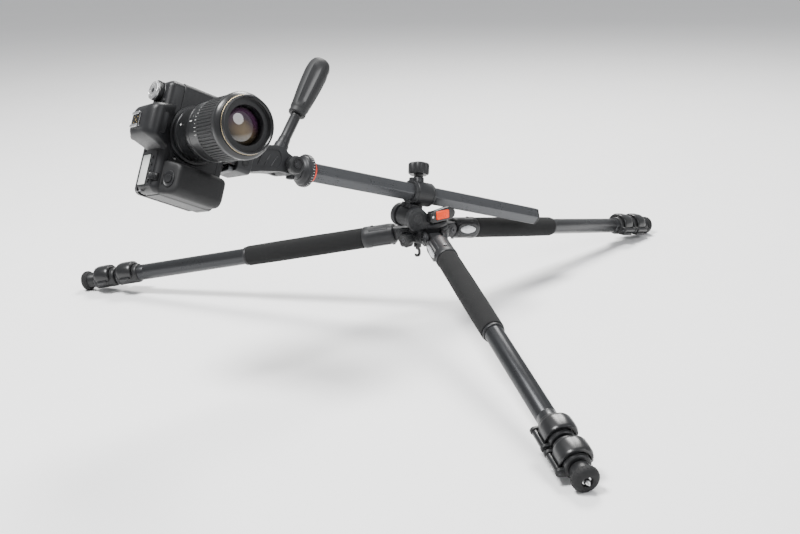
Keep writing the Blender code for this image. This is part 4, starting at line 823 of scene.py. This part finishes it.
s = Shape("columnGrey")
flats, bore = columnSizes["flats"], columnSizes["bore"]
low, high = columnSizes["ends"]
s.loft([softHex(f, r, z) for f, r, z in ((flats - 0.8, 2.2, low), (flats, 2.4, low + 0.6),
    (flats, 2.4, high - 0.6), (flats - 0.8, 2.2, high), (bore, 1.2, high), (bore, 1.2, low))], loop=True)
s.piece("centre_column", columnAt, "column", ["column"])
s = Shape("plasticBlack")
s.loft([[(0, 0, -260.4)]] + [softHex(f, 2.4, z) for f, z in ((17.5, -260.4), (18.4, -259.6), (20.6, -259.6),
    (21.6, -260.4), (24.2, -260.3), (25.6, -259.3), (25.7, columnSizes["cap"]))]
    + [[(0, 0, columnSizes["cap"])]])
s.slab([(x, y) for x, y, z in softHex(21.2, 1.0, 0)], columnSizes["cap"], -246, 0.5)
s.use("darkSteel").hexBolt(3.0, 1.0, 2.8, local(0, 0, -259.4, (180, 0, 0)))
s.piece("column_end_cap", columnAt, "column", ["column_cap"])
s = Shape("signalRed")
s.turn([(0, 189.8), (15.4, 189.8), (16.3, 190.5), (16.6, 191.4), (16.6, 194.4), (16.3, 195.2),
    (15.4, 195.8), (0, 195.8)], 80)
for i in range(24):
    s.block((16.2, -0.5, 191.4), (16.85, 0.5, 194.4), 0.25, spun(15 * i))
s.piece("pan_friction_ring", columnAt, "column", ["friction_ring"])

# the tilt axis over the pan disc, the tilt knob's seat, and the half width of the tilting casting
headSizes = {"tilt": 38.5, "knob": -20.6, "half": 20.2}
tiltAxis = local(0, 0, headSizes["tilt"])
knobSeat = local(0, headSizes["knob"], headSizes["tilt"]) @ facing
s = Shape("castGrey")
s.turn([(0, 0.1), (21.6, 0.1), (22.6, 0.7), (23, 1.8), (23, 6.4), (22.4, 7.4), (21.2, 7.8), (20.9, 8.4),
    (20.6, 10.2), (19.4, 11.6), (17.2, 12.4), (15.4, 14.0), (14.4, 15.6), (12.6, 16), (0, 16)], 96)
for i in range(36):
    deep = 5.4 if i % 3 == 0 else 3.6
    s.use("whiteInk").block((22.6, -0.18, 2.0), (23.08, 0.18, 2.0 + deep * 0.7), 0.0, spun(10 * i))
s.piece("pan_disc", headAt, "pan_base", ["pan_base"])
s = Shape("castGrey")
s.turn([(0, 16.2), (13.4, 16.2), (13.2, 17.6), (12.2, 19.6), (12.0, 26), (12.3, 38), (0, 38)], 72)
s.turn([(0, -13), (10.8, -13), (12.1, -12.2), (12.4, -11), (12.4, 11), (12.1, 12.2), (10.8, 13), (0, 13)],
    72, tiltAxis @ alongY)
s.use("steel").rod(3.9, -20, 20, tiltAxis @ alongY, 32, 0.3)
s.use("castGrey").turn([(0, 9), (5.6, 9), (6, 9.6), (6, 14.8), (5.4, 15.4), (4.2, 15.5), (3.6, 14.6),
    (0, 14.6)], 40, local(0, 0, 27, (0, -90, 0)))
s.piece("head_knuckle", headAt, "pan_base", ["head_body"])

s = Shape("plasticBlack")
s.turn([(0, 12.0), (3.9, 12.0), (4.3, 12.4), (5.0, 12.4), (5.4, 11.3), (8.0, 11.3), (8.5, 12.5),
    (10.2, 12.5), (11.6, 11.8), (12.1, 10.6), (12.3, 9), (12.3, 2.4), (11.6, 0.7), (10.8, 0.2), (0, 0.2)],
    96, knobSeat)
for i in range(20):
    s.block((-0.75, 11.9, 2.6), (0.75, 12.6, 9.8), 0.35, knobSeat @ spun(18 * i))
s.use("castGrey").turn([(0, 12.0), (3.0, 12.0), (2.7, 12.5), (0, 12.6)], 40, knobSeat)
s.piece("tilt_hand_knob", headAt, "tilt_knob", ["tilt_knob"])

s = Shape("castGrey")
line = smoothLine([(-12.2, 0), (-8.6, -8.8), (0, -12.3), (8.6, -8.8), (12.3, 0), (14.6, 8.6), (19.4, 17),
    (19.8, 25), (18.0, 34), (14.4, 46), (12.6, 58), (12.2, 65.4), (0, 65.6), (-14, 65.6), (-28.2, 65.4),
    (-26.0, 55), (-21.8, 44), (-18.6, 33), (-15.2, 22), (-12.8, 11)], 6)
s.slab(line, -headSizes["half"], headSizes["half"], 2.6, facing, 4)
tilt = s.piece("tilt_casting", tiltAt, "tilt_block", ["tilt_block"])
# the fork for the knuckle, its pin bore and the recessed panels on both faces
carve(tilt, Shape("castGrey").block((-60, -13.3, -60), (60, 13.3, 15), 0.0), tiltAt)
carve(tilt, Shape("castGrey").rod(4.3, -40, 40, alongY, 32, 0.0001), tiltAt)
panel = smoothLine([(-11, 22), (-3, 18), (8, 20), (13.5, 26), (11.6, 36), (8.6, 47), (7, 58), (-4, 60),
    (-18, 60), (-18.6, 50), (-14.6, 38), (-11.6, 29)], 5)
carve(tilt, Shape("castGrey").slab(panel, 19.2, 30, 0.0, facing).slab(panel, -30, -19.2, 0.0, facing),
    tiltAt)
s = Shape("castGrey")
# ribs on the recessed faces of the tilting casting
for side in (-1, 1):
    for x, z, tilted in ((-3, 28, 24), (-4.5, 39, 20), (-6, 50, 14)):
        s.block((-9, side * 19.3 - 0.8, -0.8), (9, side * 19.3 + 0.8, 0.8), 0.5,
            local(x, 0, z, (0, tilted, 0)))
s.piece("tilt_ribs", tiltAt, "tilt_block", [])

s = Shape("castGrey")
s.turn([(7.7, -61.5), (9.2, -61.5), (9.8, -60.8), (10, -59), (10, -51), (9.6, -49), (8.6, -48), (7.7, -48)],
    64)
s.use("plasticBlack").turn([(0, -57.6), (7.5, -57.6), (7.5, -6), (7.3, -5.6), (7.3, -4.8), (7.5, -4.4),
    (7.5, -1.4), (6.8, -0.3), (5, 0.2), (4.9, 59.6), (0, 59.8)], 64)
s.turn([(7.4, -47.8), (8.6, -47.6), (8.2, -40), (7.4, -38)], 64)
s.piece("handle_shaft", handleAt, "tilt_block", ["handle_rod"])

# length, points round, number of flutes, and their depth and turn in radians
handleSizes = {"length": 91.5, "steps": 120, "flutes": 4, "depth": 3.2, "turn": 2.4}
s = Shape("handleRubber")
profile = [(8.2, 0, 0), (11.2, 0.05, 0), (12.0, 0.7, 0), (12.5, 2.4, 0), (12.2, 5.2, 0), (11.9, 7.0, 0),
    (12.4, 8.6, 0)]
for z in range(11, 84, 3):
    reach = 12.9 + 4.4 * sin(radians((z - 8) * 1.48)) if z < 69 else 17.3 - (z - 67) ** 2 * 0.009
    flute = min(1, (z - 11) / 10) * min(1, max(0, (80 - z)) / 12)
    profile.append((reach, z, flute))
profile += [(14.0, 85.6, 0), (12.4, 88.6, 0), (10.0, 90.6, 0), (6.5, 91.4, 0),
    (3.0, handleSizes["length"], 0)]
rings = []
for reach, z, flute in profile:
    ring = []
    for i in range(handleSizes["steps"]):
        angle = 2 * pi * i / handleSizes["steps"]
        wave = max(0.0, cos(handleSizes["flutes"] * angle + handleSizes["turn"]))
        hollow = wave ** 0.7 * handleSizes["depth"] * flute
        ring.append(((reach - hollow) * cos(angle), (reach - hollow) * sin(angle), z))
    rings.append(ring)
s.loft(rings + [[(0, 0, handleSizes["length"])]])
s.use("castGrey").turn([(0, 11.6), (2.5, 11.6), (3.3, 12.2), (3.7, 13.1), (4.3, 13.2), (4.6, 12.2),
    (4.6, 8), (0, 8)], 40, local(0, 0, 15) @ facing)
s.piece("handle_rubber_grip", handleAt, "handle_grip", ["handle_grip"], 55)

s = Shape("castGrey")
# quick-release seat: a thick block with a fixed dovetail lip, cover screws and a bubble vial
s.slab(roundBox(-26, -30, 26, 30, 6, 8), 0, 22, 1.6, None, 4)
s.block((20.2, -25.8, 15), (25.9, 25.8, 26.6), 1.3)
s.slab([(20.6, 22.2), (17.9, 26.4), (20.6, 26.8)], -25, 25, 0.2, facing)
for y in (-24, 24):
    s.use("darkSteel").hexBolt(2.3, 0.8, 2.2, local(0, y, 21.8))
s.use("plasticBlack").turn([(0, 0), (4.6, 0), (4.8, 0.4), (4.6, 1.2), (3.6, 1.3), (3.4, 0.8), (0, 0.8)], 40,
    local(-13, -30.1, 11) @ facing)
s.turn([(0, 0), (3.3, 0), (3.1, 0.7), (0, 0.9)], 40, local(-13, -30.7, 11) @ facing)
s.use("castGrey").slab(roundBox(-2, 5, 20, 17, 2.5), 29.4, 30.4, 0.4, facing)
s.piece("quick_release_seat", seatAt, "tilt_block", ["platform"])

s = Shape("leverBlack")
s.slab(roundBox(-19.4, -26, 19.4, 26, 3, 6), 22.4, 33.8, 1.2)
s.slab([(-19.4, 22.4), (-19.4, 27), (-16.4, 30.4), (16.4, 30.4), (19.4, 27), (19.4, 22.4)], -25.6, 25.6,
    0.4, facing)
s.use("footRubber").slab(roundBox(-18.6, -25.2, 18.6, 25.2, 2.6, 6), 33.4, 36.8, 0.7)
for i in range(11):
    s.block((-17.4, -24 + i * 4.4, 36.4), (17.4, -22.4 + i * 4.4, 36.95), 0.2)
s.use("steel").turn([(0, 22.1), (7, 22.1), (7.6, 22.6), (7.6, 24), (0, 24)], 40)
s.piece("camera_mount_plate", seatAt, "camera", ["camera_plate"])

leverPlace = moved(seatAt, -24.3, -19, 22.3, (0, 0, 90))
s = Shape("clampGrey")
line = smoothLine([(-4.1, 0), (-2.6, -3.2), (1.5, -3.9), (8, -3.0), (19, -1.2), (30, 0.9), (34.6, 2.6),
    (35.3, 4.6), (33.5, 7.6), (27, 6.4), (16, 4.9), (7, 4.5), (1.6, 4.1), (-2.8, 3.0)], 5)
s.slab(line, 0.6, 7.4, 1.3, None, 4)
s.use("darkSteel").hexBolt(2.6, 0.9, 2.6, local(0, 0, 7.0))
s.piece("plate_lock_lever", leverPlace, "plate_lever", ["plate_lever"])
print("column and head built")


# camera body

# sides of the shell, the lens axis height, the shoe's place; the shell stands higher under the mode dial
cameraSizes = {"sides": (-22, 24, -86.5, 61.5), "lensHeight": 48, "shoulder": 90, "dialShoulder": 97,
    "dial": (43.5, 2), "shoe": (0, 4, 118.3), "shoeScrews": (-7.6, 7.6)}
front, back, left, right = cameraSizes["sides"]
lensHeight, dialShoulder = cameraSizes["lensHeight"], cameraSizes["dialShoulder"]
dialRise = dialShoulder - cameraSizes["shoulder"]


def bodyRing(x0, y0, x1, y1, r, z, inset=0.0):
    return flat(roundBox(x0 + inset, y0 + inset, x1 - inset, y1 - inset, max(0.8, r - inset), 8), z)


s = Shape("shellBlack")
s.loft([bodyRing(left, front, right, back, 9, z, inset)
    for z, inset in ((0.05, 2.6), (0.4, 1.4), (1.2, 0.5), (2.6, 0), (9, 0), (9.3, 0.35), (9.9, 0.35),
    (10.2, 0), (75.4, 0), (76, 0.5))])
s.turn([(27, -2), (38, -2), (38, 2.8), (37.4, 3.8), (36.2, 4.2), (30.5, 4.2), (30, 3.6), (27, 3.6)], 112,
    local(0, front, lensHeight) @ facing)
shell = s.piece("camera_body_shell", cameraAt, "camera", ["body_shell"])
# the battery well, the mirror box and the lens throat
throat = local(0, front - 1, lensHeight) @ alongY
carve(shell, Shape("baffleBlack").block((-80.3, -17.3, -5), (-59.7, 18.3, 56.3), 0.0), cameraAt)
carve(shell, Shape("baffleBlack").block((-19, -32, 31), (19, 14, 65), 0.0), cameraAt)
carve(shell, Shape("baffleBlack").rod(27, -10, 5, throat, 96, 0.001), cameraAt)

s = Shape("shellBlack")
# raised fittings on the body: lens release, port cover, strap lug, lamp, base plate and its socket
releaseAt = local(46, front, 34) @ facing
s.turn([(0, 0), (5.6, 0), (5.6, 1.2), (5.0, 1.9), (4.6, 1.9), (4.4, 1.2), (0, 1.2)], 48, releaseAt)
s.use("leverBlack").turn([(0, 0.8), (4.1, 0.8), (4.1, 2.2), (3.4, 2.8), (0, 2.9)], 48, releaseAt)
s.use("shellBlack").slab(roundBox(-15, 16, 14, 66, 3, 6), -0.3, 0.75, 0.4, local(right, 2) @ alongX)
s.use("baffleBlack").slab(roundBox(-15.5, 15.5, 14.5, 66.5, 3.4, 6), -0.3, 0.25, 0.1,
    local(right, 2) @ alongX)
s.use("grainRubber")
s.slab(roundBox(30.5, 12, 53.5, 30, 2.5, 6), -0.2, 0.5, 0.25, local(0, front, 0) @ facing)
s.use("eyeGlassPaintedReflection").turn([(0, 0), (2.6, 0), (2.4, 0.7), (1.4, 1.1), (0, 1.2)], 32,
    local(-36.5, front, 70) @ facing)
s.use("baffleBlack").slab(roundBox(-60, -14, 48, 17, 4, 6), -0.2, 0.4, 0.15, local(turn=(180, 0, 0)))
s.use("steel").turn([(3.2, -0.15), (6.6, -0.15), (6.6, 0.25), (6.2, 0.5), (3.2, 0.5)], 48,
    local(0, 0, -0.1, (180, 0, 0)))
s.use("darkSteel")
for x, y in ((-52, 12), (-52, -14), (52, 16), (52, -14)):
    s.hexBolt(1.7, 0.35, 1.2, local(x, y, 0.1, (180, 0, 0)))
s.piece("camera_body_fittings", cameraAt, "camera", [])

s = Shape("shellBlack")
for x0, rise in ((left + 1, 0), (8, dialRise)):
    s.loft([bodyRing(x0, front, right - 1, back, 9, z + (rise if z > 80 else 0), inset)
        for z, inset in ((76.3, 0.5), (76.8, 0.0), (80, 0.0), (80.5, 0.0), (83.4, 0.5), (86.0, 1.8),
        (88.2, 4.0), (89.4, 6.6), (90, 10))])
# prism hump: wide at the shoulders, a rounded roof, and a brow that leans out over the lens
rings = []
for z, half, ahead, behind, r in ((84, 31.5, -24.5, 23.6, 7), (88, 30, -26.0, 23.8, 8),
        (92, 28.2, -28.0, 23.8, 8), (97, 26.5, -30.4, 23.8, 8), (103, 24.8, -32.2, 23.8, 8),
        (108, 23.4, -32.4, 23.7, 8), (112, 21.8, -31.0, 23.2, 8), (115, 19.6, -27.6, 22.2, 8),
        (117.2, 16.6, -22.0, 20.4, 8), (118, 12, -16, 17.0, 7)):
    rings.append(bodyRing(-half, ahead, half, behind, r, z))
s.loft(rings)
s.slab(roundBox(-13.5, 93.5, 13.5, 108.5, 4, 6), 30.6, 31.6, 0.5, facing)
s.slab(roundBox(-79, -15, -31, 20, 4, 6), 88.9, 90.5, 0.5)
cover = s.piece("camera_top_shell", cameraAt, "camera", ["top_cover"])
# the control dial's well and the room over the lens mount
mount = local(0, front - 4, lensHeight) @ alongY
carve(cover, Shape("baffleBlack").block((-71.6, -21.2, 78.7), (-61.4, -4.8, 120), 0.0), cameraAt)
carve(cover, Shape("shellBlack").rod(38.4, -30, 30, mount, 112, 0.001), cameraAt)

s = Shape("panelGrey")
# status display in its dark bezel, with a row of small keys beside it
s.use("baffleBlack").slab(roundBox(-77, -1.0, -35, 20, 2.2, 6), 90.1, 90.9, 0.3)
s.use("panelGrey").slab(roundBox(-75.6, 0.2, -36.4, 18.8, 1.2, 6), 90.5, 91.15, 0.15)
s.use("leverBlack")
for i in range(4):
    s.turn([(0, 0), (2.3, 0), (2.2, 1.1), (1.6, 1.5), (0, 1.55)], 28,
        local(-71 + i * 9.2 + (3 if i else -1.5), -5.6, 90.4))
for x in (-60, -51, -42):
    s.use("baffleBlack").turn([(2.5, 0), (2.9, 0), (2.9, 0.2), (2.5, 0.2)], 28, local(x, -5.6, 90.4))
s.use("leverBlack").turn([(0, 0), (3.2, 0), (3.0, 1.2), (2.2, 1.7), (0, 1.5)], 32,
    local(31.5, -12, dialShoulder - 0.6))
s.use("shellBlack").turn([(0, 0), (14.2, 0), (14.2, 0.6), (13.6, 1.1), (13.0, 1.1), (12.9, 0.4), (0, 0.4)],
    72, local(*cameraSizes["dial"], dialShoulder - 0.4))
s.use("darkSteel")
for side, x, z in ((-1, left + 6, 0), (1, right - 6, dialRise)):
    s.block((x - 2.0, 7, 84.6 + z), (x + 2.0, 14, 88.6 + z), 1.4)
    s.turn([(4.0, -0.8), (5.0, -0.8), (5.4, 0), (5.0, 0.8), (4.0, 0.8), (3.7, 0)], 32,
        local(x + side * 2.9, 10.5, 88.2 + z, (0, 90 + side * 18, 0)))
s.use("whiteInk").block((29.9, 1.7, dialShoulder + 0.3), (32.6, 2.3, dialShoulder + 0.55), 0.0)
s.piece("camera_top_controls", cameraAt, "camera", [])

s = Shape("leverBlack")
s.loft([flat(lobed(r, 0.25, 60, 240), z) for r, z in ((11.8, 0.5), (12.4, 1.0), (12.5, 2), (12.5, 6.2),
    (11.6, 6.9))])
s.use("dialSilver")
s.loft([flat(lobed(r, 0.35, 72, 288), z) for r, z in ((11.4, 6.6), (12.1, 7.2), (12.1, 9.9), (11.3, 10.8))]
    + [flat(lobed(r, 0, 72, 288), z) for r, z in ((10.2, 11), (9.6, 10.7), (9.4, 10.5))] + [[(0, 0, 10.4)]])
s.use("whiteInk")
for i in range(12):
    wide = 1.2 if i % 3 else 2.2
    s.block((7.0 - wide / 2, -0.35, 10.35), (7.0 + wide / 2, 0.35, 10.65), 0.1, spun(30 * i))
s.use("leverBlack").turn([(0, 10.3), (3.0, 10.3), (3.0, 10.7), (2.4, 10.9), (0, 10.9)], 40)
s.piece("mode_selector", moved(cameraAt, *cameraSizes["dial"], dialShoulder), "mode_dial", ["mode_dial"])

s = Shape("leverBlack")
s.loft([[(0, 0, -4.4)]] + [flat(lobed(r, d, 24, 192), z)
    for r, z, d in ((5.5, -4.4, 0), (7.0, -4.3, 0.3), (7.5, -3.6, 0.6), (7.5, 3.6, 0.6), (7.0, 4.3, 0.3),
    (5.5, 4.4, 0))] + [[(0, 0, 4.4)]], alongX)
s.piece("thumb_control_wheel", moved(cameraAt, -66.5, -13, 86.5), "control_dial", ["control_dial"])

s = Shape("grainRubber")
gripX0, gripX1, gripFront, gripBack = left, -42.5, -49, -22.3


def gripRing(z, inset, slope=0.0):
    # the hand grip's outline; a slope keeps the ring under the tilted top where the shutter button sits
    line = (arcLine(gripX0 + 12, gripFront + 12, 12, 180, 270, 14)
        + arcLine(gripX1 - 12, gripFront + 9, 9, 270, 345, 12)
        + [(gripX1 - 1.6, -34), (gripX1 - 0.6, -27), (gripX1, gripBack)]
        + [(gripX1 - 44 * k / 8, gripBack) for k in range(1, 8)]
        + [(gripX0, gripBack), (gripX0, -27), (gripX0, -32)])
    cx, cy = (gripX0 + gripX1) / 2, -34
    ring = []
    for x, y in line:
        away = Vector((x - cx, y - cy))
        x2 = x - away.x / 22 * inset
        y2 = y - (away.y / 15 * inset if y < -23 else 0)
        top = min(81.6, 77.2 + (y2 + 36) * 0.445)
        ring.append((x2, y2, z if not slope else min(z, top - slope)))
    return ring


s.loft([gripRing(*ring) for ring in ((3, 7), (3.4, 4.6), (4.6, 2.6), (7, 1.2), (11, 0.35), (17, 0), (62, 0),
    (90, 0, 4.2), (90, 0.25, 2.6), (90, 0.9, 1.2), (90, 2.0, 0.35), (90, 4, 0.02), (90, 8, 0.01))])
grip = s.piece("camera_hand_grip", cameraAt, "camera", ["hand_grip"], 40)
shutterAt = moved(cameraAt, -67.5, -36, 77.6, (24, 0, 0))
carve(grip, Shape("baffleBlack").rod(5.3, -6, 12, None, 48, 0.001), shutterAt)
s = Shape("shellBlack")
s.loft([[(x * 1.25 * k, y * k, z) for x, y in lobed(8.6, 0, 6, 72)]
    for k, z in ((0.98, -1.2), (1.0, -0.1), (0.97, 0.7), (0.90, 0.9), (0.84, 0.75), (0.72, 0.1))]
    + [flat(lobed(5.4, 0, 6, 72), z) for z in (0.2, -1.2)], loop=True)
s.use("baffleBlack").slab(roundBox(-6.5, 9, 6.5, 11, 0.9), -0.4, 0.3, 0.1)
s.piece("shutter_surround", shutterAt, "camera", [])
s = Shape("barrelBlack")
s.turn([(0, 1.0), (2.6, 1.15), (4.1, 1.5), (4.7, 1.45), (5, 0.9), (5, -2.9), (0, -2.9)], 64)
s.piece("shutter_release", shutterAt, "shutter_button", ["shutter_button"])

shoeX, shoeY, shoeZ = cameraSizes["shoe"]
shoeAt = local(shoeX, shoeY, shoeZ)
s = Shape("steel")
s.slab([(-10, 0), (10, 0), (10, 3.3), (9.7, 3.6), (6.7, 3.6), (6.5, 3.4), (6.5, 2.6), (8.8, 2.6),
    (8.8, 1.0), (-8.8, 1.0), (-8.8, 2.6), (-6.5, 2.6), (-6.5, 3.4), (-6.7, 3.6), (-9.7, 3.6), (-10, 3.3)],
    -9, 9, 0.12, shoeAt @ facing, 2)
s.use("baffleBlack").slab(roundBox(-7.6, -7.6, 7.6, 8, 0.8), 0.9, 1.35, 0.1, shoeAt)
s.use("contactGold")
for x, y, r in ((0, 0, 1.5), (-3.6, -4.2, 0.9), (3.6, -4.2, 0.9), (-3.6, 4.2, 0.9), (3.6, 4.2, 0.9)):
    s.rod(r, 1.2, 1.55, local(x, y + shoeY, shoeZ), 24, 0.1)
s.use("darkSteel")
for x in cameraSizes["shoeScrews"]:
    s.rod(0.9, 1.0, 1.45, local(x, shoeY - 6.6, shoeZ), 20, 0.1)
s.piece("accessory_shoe", cameraAt, "camera", ["hot_shoe"])

s = Shape("shellBlack")
# back cover, eyepiece block and its rubber cup, the screen, keys, rear wheel, joystick and thumb rest
s.loft([flat(roundBox(left + 1 + k, 1 + k, right - 1 - k, 88 - k, 8, 10), z)
    for z, k in ((24.4, 0), (29.5, 0), (32, 0.6), (33.4, 1.8), (34, 3.8))], backUp)
s.slab(roundBox(-16.5, 81, 16.5, 105.8, 6, 8), 24.4, 36.5, 1.6, backUp)
s.use("footRubber")
s.loft([flat(roundBox(-w, 93.2 - h, w, 93.2 + h, r, 8), z)
    for w, h, r, z in ((16.4, 12.4, 5, 35), (17, 12.9, 5, 37), (16.8, 12.7, 5, 40.6), (15.6, 11.6, 4.6, 42),
    (13.6, 9.8, 4, 41.8), (12.4, 8.8, 3.4, 39.6), (11.8, 8.2, 3, 36.2))], backUp)
s.use("eyeGlassPaintedReflection").slab(roundBox(-11, 85.8, 11, 100.6, 2.5, 6), 36.0, 36.7, 0.2, backUp)
s.use("baffleBlack").slab(roundBox(-42, 7, 26, 58, 2.5, 6), 33.6, 34.3, 0.3, backUp)
s.use("screenBlack").slab(roundBox(-38.5, 10.5, 22.5, 54.5, 1.2, 6), 34.0, 34.55, 0.2, backUp)
s.use("leverBlack")
for i in range(5):
    s.turn([(0, 33.8), (2.9, 33.8), (2.8, 35.0), (2.2, 35.5), (0, 35.4)], 28,
        backUp @ local(31.8, 12 + i * 10.4, 0))
s.turn([(0, 33.8), (11.2, 33.8), (11.6, 34.4), (11.2, 35.2), (9.4, 35.6), (8.6, 34.9), (5.2, 34.9),
    (4.8, 35.4), (3.6, 35.9), (0, 36)], 72, backUp @ local(-61, 34, 0))
s.turn([(0, 33.8), (6.4, 33.8), (6.2, 34.8), (4.4, 35.3), (4.0, 36.6), (3.0, 37.0), (0, 36.8)], 48,
    backUp @ local(-55, 66, 0))
for x, z in ((-72, 74), (-61, 78.5), (-50, 80.5), (-72, 13), (-58, 13)):
    s.turn([(0, 33.8), (2.7, 33.8), (2.6, 35.0), (2.0, 35.4), (0, 35.3)], 28, backUp @ local(x, z, 0))
s.use("grainRubber").loft([flat(roundBox(-84 + k, 46 + k, -68 - k, 69 - k, 5, 8), z)
    for z, k in ((33.6, 0), (35.4, 0.2), (36.6, 1.2), (37.1, 3.2))], backUp)
s.piece("camera_back_shell", cameraAt, "camera", ["rear_cover"])
print("camera body built")


# lens

lensSizes = {"ribs": 60, "steps": 360, "glassEdge": 24.1, "glassAngle": 52}


def ribbed(radius, depth, z):
    # a ring whose radius steps in and out along the ribs
    ring = []
    for i in range(lensSizes["steps"]):
        wave = (i * lensSizes["ribs"] / lensSizes["steps"]) % 1
        reach = radius - depth * (0 if wave < 0.5 else 1)
        angle = 2 * pi * i / lensSizes["steps"]
        ring.append((reach * cos(angle), reach * sin(angle), z))
    return ring


s = Shape("barrelBlack")
s.turn([(24, 0.2), (33, 0.2), (34.2, 1.2), (35, 5), (35, 8.6), (34.6, 9), (34.6, 9.8), (35, 10.2),
    (35, 31.6), (36.4, 34.4), (37.6, 37.2), (38, 39.2), (38, 44.2), (37.6, 44.6), (37.6, 45.6), (38, 46),
    (38, 64.8), (37.4, 65.6), (36.2, 65.6), (36.2, 106.4), (39.8, 106.4), (40.9, 107.4), (41, 108.6),
    (41, 111.4), (40.4, 113.2), (38.4, 115.4), (36.4, 117.2), (24.6, 117.2), (24.6, 111), (24, 100)], 144)
s.turn([(33, 113), (36.2, 115.6), (35.6, 117.6), (35.5, 122.8), (35.1, 123.7), (34.4, 124), (33.3, 124),
    (33.0, 123.2), (32.7, 122.8), (33.0, 122.4), (32.7, 122.0), (33.0, 121.6), (32.7, 121.2), (33.0, 120.8),
    (32.7, 120.4), (32.6, 119.4)], 144)
s.use("paleGold").turn([(35.4, 119.0), (35.95, 119.1), (36.0, 119.5), (35.95, 119.9), (35.4, 120.0)], 144)
s.use("baffleBlack").turn([(32.8, 119.8), (32.6, 118.2), (31.4, 117.6), (31.2, 116.4), (29.8, 115.8),
    (29.6, 114.6), (28.2, 114.0), (28.0, 112.8), (26.6, 112.2), (26.4, 111.0), (25.2, 110.4), (25.0, 108.9),
    (24.4, 108.6), (24.4, 107), (33.2, 107)], 144)
s.use("whiteInk")
s.block((-0.45, 37.9, 47.5), (0.45, 38.12, 53), 0.0)
for i in range(-4, 5):
    s.block((-0.2, 37.9, 59.6), (0.2, 38.1, 61.8 if i % 2 else 63.4), 0.0, spun(7 * i))
s.turn([(0, 0), (1.3, 0), (1.1, 0.4), (0, 0.5)], 24, local(0, 34.9, 20, (-90, 0, 0)))
s.use("leverBlack").block((32.6, -7, 14), (36.2, 7, 24), 1.1)
s.piece("lens_outer_barrel", lensAt, "camera", ["lens_barrel"], 28)

s = Shape("ribRubber")
s.loft([ribbed(r, depth, z) for r, depth, z in ((36.8, 0, 66.1), (39.0, 0, 66.1), (39.6, 0, 66.8),
    (39.6, 0, 68.8), (39.9, 1.1, 69.4), (40.0, 1.2, 70.2), (40.0, 1.2, 101.6), (39.9, 1.1, 102.6),
    (39.6, 0, 103.2), (39.6, 0, 105.2), (39.0, 0, 105.9), (36.8, 0, 105.9))], loop=True)
s.piece("focus_grip_ring", lensAt, "focus_ring", ["focus_ring"], 28)

s = Shape("amberPaintedReflectionGlass")
edge, most = lensSizes["glassEdge"], lensSizes["glassAngle"]
rim = cos(radians(most))
s.turn([(edge, 104.6)] + [(edge * sin(radians(a)) / sin(radians(most)),
    107.0 + 6 * (cos(radians(a)) - rim) / (1 - rim)) for a in range(most, -1, -4)], 128)
s.piece("front_element", lensAt, "camera", ["front_lens"], 60)
print("lens built")

# the reflex mirror keeps its solid with the dark glass finish and its painted reflection, the battery keeps
# its solid with a worked finish
for node, finish in (("mirror", "eyeGlassPaintedReflection"), ("battery", "plasticBlack")):
    thing = bpy.data.objects[node]
    thing.data.materials.clear()
    thing.data.materials.append(finishes[finish])


# floor, light and camera

low, high = (Vector(corner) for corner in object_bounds())
centre = (low + high) / 2
f = Finish("studioFloor")
f.set(Base_Color=f.blend(f.noise(3, 4), (0.90, 0.90, 0.90), (0.95, 0.95, 0.945)),
    Roughness=0.55 + f.noise(60, 4) * 0.1, Normal=f.bump(f.noise(400, 3), 0.00003))
mesh = bpy.data.meshes.new("studioFloor")
mesh.from_pydata([(-9, -6, 0), (9, -6, 0), (9, 12, 0), (-9, 12, 0)], [], [(0, 1, 2, 3)])
mesh.materials.append(f.material)
floor = bpy.data.objects.new("studio_floor", mesh)
bpy.context.scene.collection.objects.link(floor)
floor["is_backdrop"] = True

world = bpy.data.worlds.new("studio")
world.use_nodes = True
sky = world.node_tree.nodes["Background"].inputs
sky["Color"].default_value, sky["Strength"].default_value = (0.93, 0.94, 0.96, 1), 0.62
bpy.context.scene.world = world


def softLight(name, spot, size, power, colour=(1, 1, 1)):
    light = bpy.data.lights.new(name, 'AREA')
    light.shape, light.size, light.energy, light.color = 'DISK', size, power, colour
    thing = bpy.data.objects.new(name, light)
    bpy.context.scene.collection.objects.link(thing)
    thing.location = centre + Vector(spot)
    thing.rotation_euler = (-Vector(spot)).to_track_quat('-Z', 'Y').to_euler()


softLight("key_light", (-1.0, -0.6, 2.4), 0.9, 150)
softLight("fill_light", (2.0, -1.2, 1.6), 1.4, 30, (0.97, 0.98, 1.0))
softLight("back_light", (0.4, 2.0, 2.3), 1.2, 130, (1.0, 0.99, 0.97))

lens = bpy.data.cameras.new("view")
lens.lens, lens.sensor_width = 50.432, 36
viewer = bpy.data.objects.new("view", lens)
viewer.location = hub + Vector((-0.02756, -1.65478, 0.46277))
viewer.rotation_euler = [radians(a) for a in (72.412, 1.4132, 0.1342)]
bpy.context.scene.collection.objects.link(viewer)
bpy.context.scene.camera = viewer

print("scene ready")
